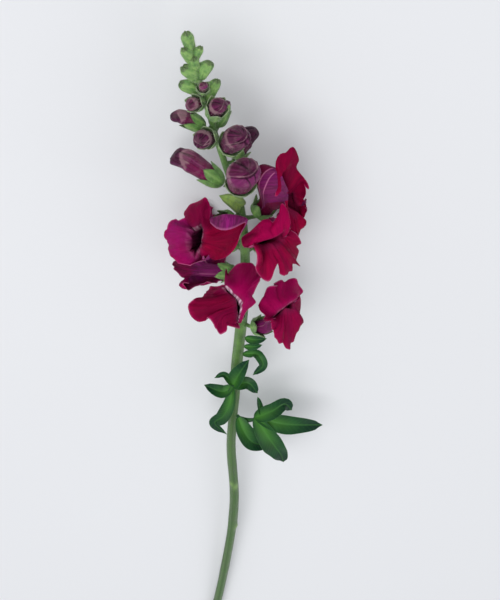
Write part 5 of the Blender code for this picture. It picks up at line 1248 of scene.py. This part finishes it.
def petal_outer_finish(settings, streaks, mottle):
    """Satin outer face of a petal and its tube: magenta to plum with darker veins, and pale lines where
    the two lips meet. The tube of a two-toned floret is crimson up to a slanting line with pale edges."""
    made = Finish("petal_satin", mottle, 110.0, 1500.0, streaks, Round=20.0, Along=4.0, Sharpness=0.07)
    throat, margin, _ = made.mark("tone")
    seam = made.mark("extra")[0]
    _, plum, clear = made.mark("hue")
    cosine, sine, along = made.mark("grown")
    crimson = (1.0 - throat.span(0.0, 0.6)) * ((1.0 - clear).held() * 0.6)
    past = sine.reckoned("ARCTAN2", sine, cosine) - 3.41 + along * 2.67
    two_toned = (clear * -1.0).held()
    first = 1.0 - abs(past).span(0.008, 0.035)
    second = 1.0 - abs(past - 0.22).span(0.004, 0.028)
    colour = layered(
        mixed(made.bands, settings.plum, settings.magenta),
        (crimson, settings.crimson),
        (plum, mixed(made.bands, settings.plum, settings.plum_dark)),
        ((1.0 - past.span(-0.06, 0.06)) * 0.75 * two_toned, settings.crimson_deep),
        (made.lines * 0.45, settings.plum_dark),
        (seam.or_more(first.or_more(second) * two_toned) * 0.55, settings.petal_edge),
        (margin.span(0.8, 1.0) * 0.35, settings.petal_edge),
    )
    return made.done(
        colour, (0.38, 0.55), made.height + made.grainy * 0.2, 0.0003, 0.6, Specular_IOR_Level=0.08,
        Sheen_Weight=0.03, Sheen_Roughness=0.4, Sheen_Tint=(1.0, 0.5, 0.8),
    )


def bud_finish(settings, streaks, mottle):
    """Skin of a closed bud: plum to magenta, with painted shade in its creases and fold troughs, and pale
    lines on its folded edges that are partly painted highlight and sheen.
    """
    made = Finish("bud_skin", mottle, 190.0, 2200.0, streaks, Round=14.0, Along=3.5, Sharpness=0.09)
    share, pale, tint = made.mark("tone")
    under, dark, _ = made.mark("extra")
    plum = mixed(made.bands, settings.plum_dark, settings.plum)
    rosy = mixed(made.bands, settings.magenta_deep, settings.bud_pink)
    toward_base = (1.2 - share).held()
    colour = layered(
        mixed(((tint * toward_base).held() * 1.3).held(), plum, rosy),
        (made.lines * 0.5, settings.plum_dark),
        (under * (tint * 0.7), settings.bud_light),
        (dark * 0.75, settings.bud_shade),
        (made.patchy.span(0.35, 1.0) * 0.14, settings.bud_rim),
        (pale.span(0.3, 1.0) * 0.5, settings.bud_rim),
    )
    return made.done(
        colour, (0.36, 0.55), made.height + made.grainy * 0.4, 0.0003, 0.7, Specular_IOR_Level=0.15,
        Sheen_Weight=0.03, Sheen_Roughness=0.4, Sheen_Tint=(1.0, 0.75, 0.9),
    )


def calyx_finish(settings, streaks, mottle, name, green, deep, rim):
    """Soft green skin of a calyx: lighter ribs, and edges and tips of another colour."""
    made = Finish(name, mottle, 300.0, 2500.0, streaks, Round=12.0, Along=3.0, Sharpness=0.1)
    _, edge, rib = made.mark("tone")
    colour = layered(
        mixed(made.patchy, deep, green),
        (rib * 0.45, settings.calyx_light),
        (made.lines * 0.25, deep),
        (edge.span(0.5, 1.0) * 0.6, rim),
    )
    return made.done(
        colour, (0.5, 0.65), made.height + made.grainy * 0.5, 0.00025, 0.6,
        Sheen_Weight=0.15, Sheen_Tint=(0.85, 1.0, 0.8),
    )


def leaf_finish(settings, mottle):
    """Satin leaf: dark green above and paler below, a light rib, and fine side veins that run forwards.

    The grown values are millimetres across and along the leaf, so the veins slant by adding them."""
    made = Finish("leaf_skin", mottle, 70.0, 1900.0)
    across, along, _ = made.mark("grown")
    share, outwards, under = made.mark("tone")
    across = abs(across)
    slant = along - across * 1.1
    veins = 1.0 - slant.reckoned("PINGPONG", slant, 1.7).span(0.0, 0.45)
    # lighter near the rib and stalk: partly the leaf's own paler green, partly a painted highlight
    pale_and_highlit = (1.0 - outwards).held() * 0.75 * (1.0 - share.span(0.05, 0.8))
    colour = layered(
        mixed(made.patchy, settings.leaf_deep, settings.leaf),
        (pale_and_highlit, settings.leaf_pale_and_highlight),
        (share.span(0.6, 1.0) * 0.75, settings.leaf_tip),
        (under * 0.55, settings.leaf_under),
        (veins * 0.16, settings.leaf_rib),
        ((1.0 - across.span(0.25, 0.75)) * 0.4, settings.leaf_rib),
        (outwards.span(0.9, 1.0) * 0.35, settings.leaf_rib),
    )
    relief = veins * -0.3 + made.grainy * 0.35
    return made.done(colour, (0.36, 0.5), relief, 0.0003, 0.5, Specular_IOR_Level=0.2)


def stem_finish(settings, streaks, mottle):
    """Skin of the stem: green with fine length-wise streaks, greyer towards the cut end, paler scars."""
    made = Finish("stem_skin", mottle, 160.0, 2200.0, streaks, Round=9.0, Along=0.035, Sharpness=0.07)
    share, scar, _ = made.mark("tone")
    low = mixed(made.patchy, settings.stem_low, settings.stem)
    high = mixed(made.patchy, settings.stem, settings.stem_high)
    colour = layered(
        mixed(share.span(0.35, 0.8), low, high),
        (made.lines * 0.35, settings.stem_low),
        (made.bands * 0.25, settings.stem_high),
        (scar * 0.7, settings.stem_scar),
    )
    relief = made.height + made.grainy * 0.3
    return made.done(colour, (0.4, 0.55), relief, 0.00025, 0.6, Sheen_Weight=0.15)


def hair_finish(settings):
    """Pale hairs that are clearer at their tips."""
    made = Finish("hair_pale")
    colour = mixed(made.mark("tone")[0], settings.hair_foot, settings.hair_tip)
    return made.set(Base_Color=colour, Roughness=0.5)


def floor_finish(settings):
    """Plain pale floor with a very faint unevenness."""
    made = Finish("floor_pale")
    uneven = noise(made.tree, made.place(), Scale=3.0, Detail=2.0)
    colour = mixed(uneven, [c * 0.97 for c in settings.floor], settings.floor)
    return made.set(Base_Color=colour, Roughness=0.9, Specular_IOR_Level=0.1)


def linear(red, green, blue):
    """A colour as it is seen, in 0 to 255, as the linear values that a shader takes."""
    seen = np.array((red, green, blue)) / 255
    made = np.where(seen <= 0.04045, seen / 12.92, ((seen + 0.055) / 1.055) ** 2.4)
    return tuple(float(v) for v in made)


def number(name, description, default, least, most):
    return bpy.props.FloatProperty(
        name=name, description=description, default=default, min=least, max=most
    )


def colour(name, description, *seen):
    return bpy.props.FloatVectorProperty(
        name=name, description=description, subtype="COLOR", size=3, min=0, max=1, default=linear(*seen)
    )


class SnapdragonPetalSettings(bpy.types.PropertyGroup):
    thickness: number("Thickness", "Thickness of a petal away from its margin, in mm", 0.42, 0.2, 0.8)
    ruffle: number("Ruffle", "Depth of the fine waves at the margin, in mm", 1.0, 0.0, 2.0)
    crimson: colour("Crimson", "Inner face of a petal", 166, 0, 52)
    # Painted highlight: along the margin of the inner face and on lobes marked lighter.
    petal_highlight: colour("Petal glow", "Inner face towards its margin", 178, 0, 84)
    crimson_deep: colour("Deep crimson", "Inner face where it is darker", 106, 0, 38)
    # Veins, and also the painted shade of lobes marked darker.
    crimson_vein_and_shade: colour("Dark crimson", "Veins of the inner face", 74, 0, 20)
    magenta: colour("Magenta", "Outer face of a petal", 162, 30, 126)
    magenta_deep: colour("Deep magenta", "Outer face where it is darker", 140, 2, 80)
    petal_edge: colour("Petal edge", "The thin margin of a petal", 205, 120, 160)
    throat: colour("Throat", "Throat", 110, 36, 76)
    palate: colour("Palate", "Pale palate inside the mouth", 238, 206, 222)
    plum: colour("Plum", "Tube and buds", 114, 37, 84)
    # Also painted as shade on the inner face deep in the tube.
    plum_dark: colour("Dark plum", "Veins of the tube, tips of buds", 44, 8, 34)
    bud_pink: colour("Bud pink", "Lighter skin of a bud", 128, 44, 96)
    bud_light: colour("Bud light", "Lower lip of a bud", 150, 56, 122)
    bud_shade: colour("Bud shade", "Creases of a bud", 24, 6, 20)
    # Pale folded edges, and also the painted sheen of the downy rim and painted highlight on fold crests.
    bud_rim: colour("Bud rim", "Folded edges of a bud", 180, 144, 150)


class SnapdragonGreenSettings(bpy.types.PropertyGroup):
    calyx: colour("Calyx", "Skin of a calyx", 118, 165, 80)
    calyx_deep: colour("Deep calyx", "Calyx where it is darker", 74, 118, 52)
    calyx_light: colour("Light calyx", "Ribs of the sepals", 160, 196, 110)
    tip: colour("Tip", "Skin of the green buds", 146, 186, 102)
    # A lighter green than the leaves: partly the bract's own, partly painted light that makes up for the
    # shade it lies in.
    bract: colour("Bract", "Upper single leaf, young and light", 194, 226, 114)
    tip_deep: colour("Deep tip", "Green buds where they are darker", 86, 136, 66)
    calyx_edge: colour("Calyx edge", "Edges and tips of the sepals", 62, 70, 48)
    calyx_rim: colour("Calyx rim", "Downy edges of the sepals of small buds", 158, 168, 140)
    leaf: colour("Leaf", "Upper face of a leaf", 24, 72, 38)
    leaf_deep: colour("Deep leaf", "Upper face where it is darker", 12, 50, 28)
    # Lighter zone near the rib and stalk: partly the leaf's own paler green, partly a painted highlight.
    leaf_pale_and_highlight: colour("Young leaf", "Leaf near its rib and stalk", 84, 148, 52)
    leaf_tip: colour("Leaf tip", "Tip of a leaf", 8, 42, 34)
    leaf_under: colour("Leaf underside", "Lower face of a leaf", 62, 112, 60)
    leaf_rib: colour("Leaf rib", "Rib and veins", 66, 120, 54)
    stem: colour("Stem", "Skin of the stem", 54, 96, 34)
    stem_low: colour("Low stem", "Stem towards the cut end", 56, 84, 38)
    stem_high: colour("High stem", "Stem among the flowers", 104, 146, 66)
    stem_scar: colour("Scar", "Scars on the stem", 132, 170, 88)
    hair_foot: colour("Hair foot", "Foot of a hair", 150, 170, 130)
    hair_tip: colour("Hair tip", "Tip of a hair", 225, 225, 215)
    hair_length: number("Hair length", "Length of the hairs on the green parts, in mm", USUAL_HAIR, 0, 1.5)
    leaf_thickness: number("Leaf thickness", "Thickness of a leaf, in mm", 0.5, 0.2, 1.0)


class SnapdragonStageSettings(bpy.types.PropertyGroup):
    floor: colour("Floor", "Colour of the floor", 223, 224, 226)
    key_power: number("Key light", "Power in watts", 60.0, 0, 1000)
    fill_power: number("Fill light", "Power in watts", 11.0, 0, 1000)
    sky: number("Sky", "Strength of the even light", 0.5, 0, 10)


FINISHES = {}


def finish(name):
    """A finish by name. All of them are made the first time that one is asked for."""
    if not FINISHES:
        petals = bpy.context.scene.snapdragon_petals
        greens = bpy.context.scene.snapdragon_greens
        groups = streaks_group(), mottle_group()
        FINISHES["inner"] = petal_inner_finish(petals, *groups)
        FINISHES["outer"] = petal_outer_finish(petals, *groups)
        FINISHES["bud"] = bud_finish(petals, *groups)
        for key, *colours in (
            ("calyx", greens.calyx, greens.calyx_deep, greens.calyx_edge),
            ("bud_calyx", greens.calyx, greens.calyx_deep, greens.calyx_rim),
            ("tip", greens.tip, greens.tip_deep, greens.calyx_edge),
            # the bract's lighter green is partly painted light against the shade it lies in
            ("bract", greens.bract, greens.tip, greens.calyx_edge),
        ):
            FINISHES[key] = calyx_finish(greens, *groups, key + "_skin", *colours)
        FINISHES["leaf"] = leaf_finish(greens, groups[1])
        FINISHES["stem"] = stem_finish(greens, *groups)
        FINISHES["hair"] = hair_finish(greens)
        FINISHES["floor"] = floor_finish(bpy.context.scene.snapdragon_stage)
    return FINISHES[name]


# Skins that get hairs: the skin, how many and how long, and a function that says on which squares.
HAIRY = []


class SNAPDRAGON_OT_stem(bpy.types.Operator):
    """Stem with its stalks, and the green buds of the tip"""

    bl_idname = "snapdragon.stem"
    bl_label = "Stem and green buds"

    def execute(self, context):
        stem, stalks = stem_skin(), stalk_skins()
        add_piece("stem_body", [stem, *stalks], [finish("stem")], ["stem"])
        greens = [green_bud_skin(row, k) for k, row in enumerate(GREEN_BUDS)]
        add_piece("tip_buds", greens, [finish("tip")], ["stem"])
        HAIRY.append((stem, *STEM_HAIRS, lambda s: s["points"][s["quads"][:, 0], 1] > HAIRS_FROM))
        HAIRY.extend((g, *TIP_HAIRS, None) for g in greens)
        HAIRY.extend((s, *STALK_HAIRS, None) for s in stalks)
        return {"FINISHED"}


class SNAPDRAGON_OT_florets(bpy.types.Operator):
    """Open florets: a corolla and a calyx each"""

    bl_idname = "snapdragon.florets"
    bl_label = "Open florets"

    def execute(self, context):
        petals = context.scene.snapdragon_petals
        looks = [finish("outer"), finish("inner")]
        for seed, row in enumerate(FLORETS):
            name, y, azimuth, ascend, roll, pedicel, scale, shape = row
            made = corolla_skin(row, seed, petals.thickness, petals.ruffle)
            add_piece("petals_" + name, [made], looks, ["corolla_" + name])
            origin, axes = frame_on_stem(y, azimuth, ascend, roll, pedicel, CALYX_HALF * scale)
            tube = TUBE_LENGTH * shape["tube"] * scale

            def profile(x, tube=tube, scale=scale):
                share = x / tube
                return (tube_radius(share) + 0.6 * TUBE_POUCH) * scale * np.clip(share / 0.05, 0, 1) ** 0.5

            cup = calyx_skin(
                origin, axes, profile, seed, reach=CALYX_DEPTH, sepal=SEPAL_LENGTH, open_by=0.9
            )
            add_piece("sepals_" + name, [cup], [finish("calyx")], ["calyx_" + name])
            HAIRY.append((cup, *CALYX_HAIRS, None))
        return {"FINISHED"}


class SNAPDRAGON_OT_buds(bpy.types.Operator):
    """Coloured buds: a closed corolla and a calyx each"""

    bl_idname = "snapdragon.buds"
    bl_label = "Coloured buds"

    def execute(self, context):
        for seed, row in enumerate(BUDS):
            name, y, azimuth, ascend, roll, pedicel, length, radius, held = row
            look = {**BUD_DEFAULTS, **BUD_LOOKS[name]}
            made = bud_skin(row, look, seed)
            add_piece("petals_bud_" + name, [made], [finish("bud")], ["bud_" + name])
            origin, axes = frame_on_stem(y, azimuth, ascend, roll, pedicel, BUD_BASE_SHARE * radius)

            def profile(x, length=length, radius=radius):
                return bud_radius(x / length, radius)

            cup = calyx_skin(
                origin, axes, profile, seed + BUD_CALYX_SEED, reach=length * held * CUP_SHARE,
                sepal=length * held * (1 - CUP_SHARE), open_by=0.1, lean=0.12, pointed=0.6,
                spin=look["spin"],
            )
            skin_of_cup = finish("calyx" if look["spin"] else "bud_calyx")
            add_piece("sepals_bud_" + name, [cup], [skin_of_cup], ["bud_calyx_" + name])
            HAIRY.append((cup, *CALYX_HAIRS, None))
            HAIRY.append((made, *BUD_HAIRS, lambda s: s["marks"]["tone"][s["quads"][:, 0], 0] < 0.8))
        return {"FINISHED"}


class SNAPDRAGON_OT_leaves(bpy.types.Operator):
    """Leaves on the stem and the two leafy side shoots"""

    bl_idname = "snapdragon.leaves"
    bl_label = "Leaves and shoots"

    def execute(self, context):
        thick = context.scene.snapdragon_greens.leaf_thickness
        for seed, (name, *leaf) in enumerate(LEAVES):
            look = finish("bract" if name == "bract_high" else "leaf")
            add_piece("blade_" + name, [leaf_skin(*leaf, seed, thick)], [look], [name])
        for seed, (name, centre, leaves) in enumerate(SHOOTS):
            skins = [leaf_skin(*leaf, SHOOT_SEED * seed + k, thick) for k, leaf in enumerate(leaves)]
            heights = np.array([-KNOB_HALF, -0.6, 0.6, KNOB_HALF])
            line = catmull_rom(np.array(centre) + triple(0, 0, heights), 0.3)
            knob = rod_skin(line, KNOB_HALF * np.sin(np.linspace(0.25, 2.9, len(line))), 16)
            add_piece("blades_" + name, [*skins, knob], [finish("leaf")], [name])
        return {"FINISHED"}


class SNAPDRAGON_OT_hairs(bpy.types.Operator):
    """Fine hairs on the calyces, buds, stalks and upper stem"""

    bl_idname = "snapdragon.hairs"
    bl_label = "Hairs"

    def execute(self, context):
        longer = context.scene.snapdragon_greens.hair_length
        made = [
            hairs_on(s, count, length * longer / USUAL_HAIR, HAIR_SEED + k, keep)
            for k, (s, count, length, keep) in enumerate(HAIRY)
        ]
        add_piece("hairs", made, [finish("hair")], [])
        return {"FINISHED"}


class SNAPDRAGON_OT_stage(bpy.types.Operator):
    """Pale floor, soft lights and the camera"""

    bl_idname = "snapdragon.stage"
    bl_label = "Floor, lights and camera"

    def execute(self, context):
        scene, settings = context.scene, context.scene.snapdragon_stage

        def added(name, data):
            made = bpy.data.objects.new(name, data)
            scene.collection.objects.link(made)
            return made

        mesh = bpy.data.meshes.new("floor")
        corners = [(x * FLOOR_HALF, y * FLOOR_HALF, 0) for x, y in ((-1, -1), (1, -1), (1, 1), (-1, 1))]
        mesh.from_pydata(corners, [], [(0, 1, 2, 3)])
        mesh.materials.append(finish("floor"))
        added("floor", mesh)
        for name, place, size, power, aim in LIGHTS:
            data = bpy.data.lights.new(name, "AREA")
            data.shape = "DISK"
            data.size = size
            data.energy = getattr(settings, power)
            light = added(name, data)
            light.location = place
            light.rotation_mode = "QUATERNION"
            light.rotation_quaternion = (Vector(place) - Vector(aim)).to_track_quat("Z", "Y")
        world = bpy.data.worlds.new("soft_sky")
        world.use_nodes = True
        sky = world.node_tree.nodes["Background"].inputs
        sky["Color"].default_value = SKY_COLOUR
        sky["Strength"].default_value = settings.sky
        scene.world = world
        tilt = math.radians(CAMERA_TILT_DEG)
        ahead = Vector((0, -math.sin(tilt), -math.cos(tilt)))
        up = Vector((0, math.cos(tilt), -math.sin(tilt)))
        seen = Matrix((ahead.cross(up), up, -ahead)).transposed().to_4x4()
        seen.translation = Vector(CAMERA_PLACE)
        laid = Matrix.Translation(Vector(LAY_OFFSET) * MM) @ Matrix(LAY_TURN.tolist()).to_4x4()
        data = bpy.data.cameras.new("camera")
        data.lens, data.sensor_width = CAMERA_LENS, CAMERA_SENSOR
        data.clip_start, data.clip_end = CAMERA_CLIP
        scene.camera = added("camera", data)
        scene.camera.matrix_world = laid @ seen
        scene.view_settings.view_transform = "Standard"
        return {"FINISHED"}


class SNAPDRAGON_PT_panel(bpy.types.Panel):
    bl_label = "Snapdragon spike"
    bl_space_type = "VIEW_3D"
    bl_region_type = "UI"
    bl_category = "Snapdragon"

    def draw(self, context):
        for made in OPERATORS:
            self.layout.operator(made.bl_idname)
        for group in SETTINGS:
            box = self.layout.box()
            for key in getattr(context.scene, group).bl_rna.properties.keys():
                if key not in ("rna_type", "name"):
                    box.prop(getattr(context.scene, group), key)


OPERATORS = (
    SNAPDRAGON_OT_stem,
    SNAPDRAGON_OT_florets,
    SNAPDRAGON_OT_buds,
    SNAPDRAGON_OT_leaves,
    SNAPDRAGON_OT_hairs,
    SNAPDRAGON_OT_stage,
)
SETTINGS = {
    "snapdragon_petals": SnapdragonPetalSettings,
    "snapdragon_greens": SnapdragonGreenSettings,
    "snapdragon_stage": SnapdragonStageSettings,
}


def register():
    for made in (*SETTINGS.values(), *OPERATORS, SNAPDRAGON_PT_panel):
        bpy.utils.register_class(made)
    for name, made in SETTINGS.items():
        setattr(bpy.types.Scene, name, bpy.props.PointerProperty(type=made))


def unregister():
    for name in SETTINGS:
        delattr(bpy.types.Scene, name)
    for made in (SNAPDRAGON_PT_panel, *reversed(OPERATORS), *reversed(SETTINGS.values())):
        bpy.utils.unregister_class(made)


def main():
    register()
    bpy.ops.snapdragon.stem()
    bpy.ops.snapdragon.florets()
    bpy.ops.snapdragon.buds()
    bpy.ops.snapdragon.leaves()
    bpy.ops.snapdragon.hairs()
    bpy.ops.snapdragon.stage()


if __name__ == "__main__":
    main()
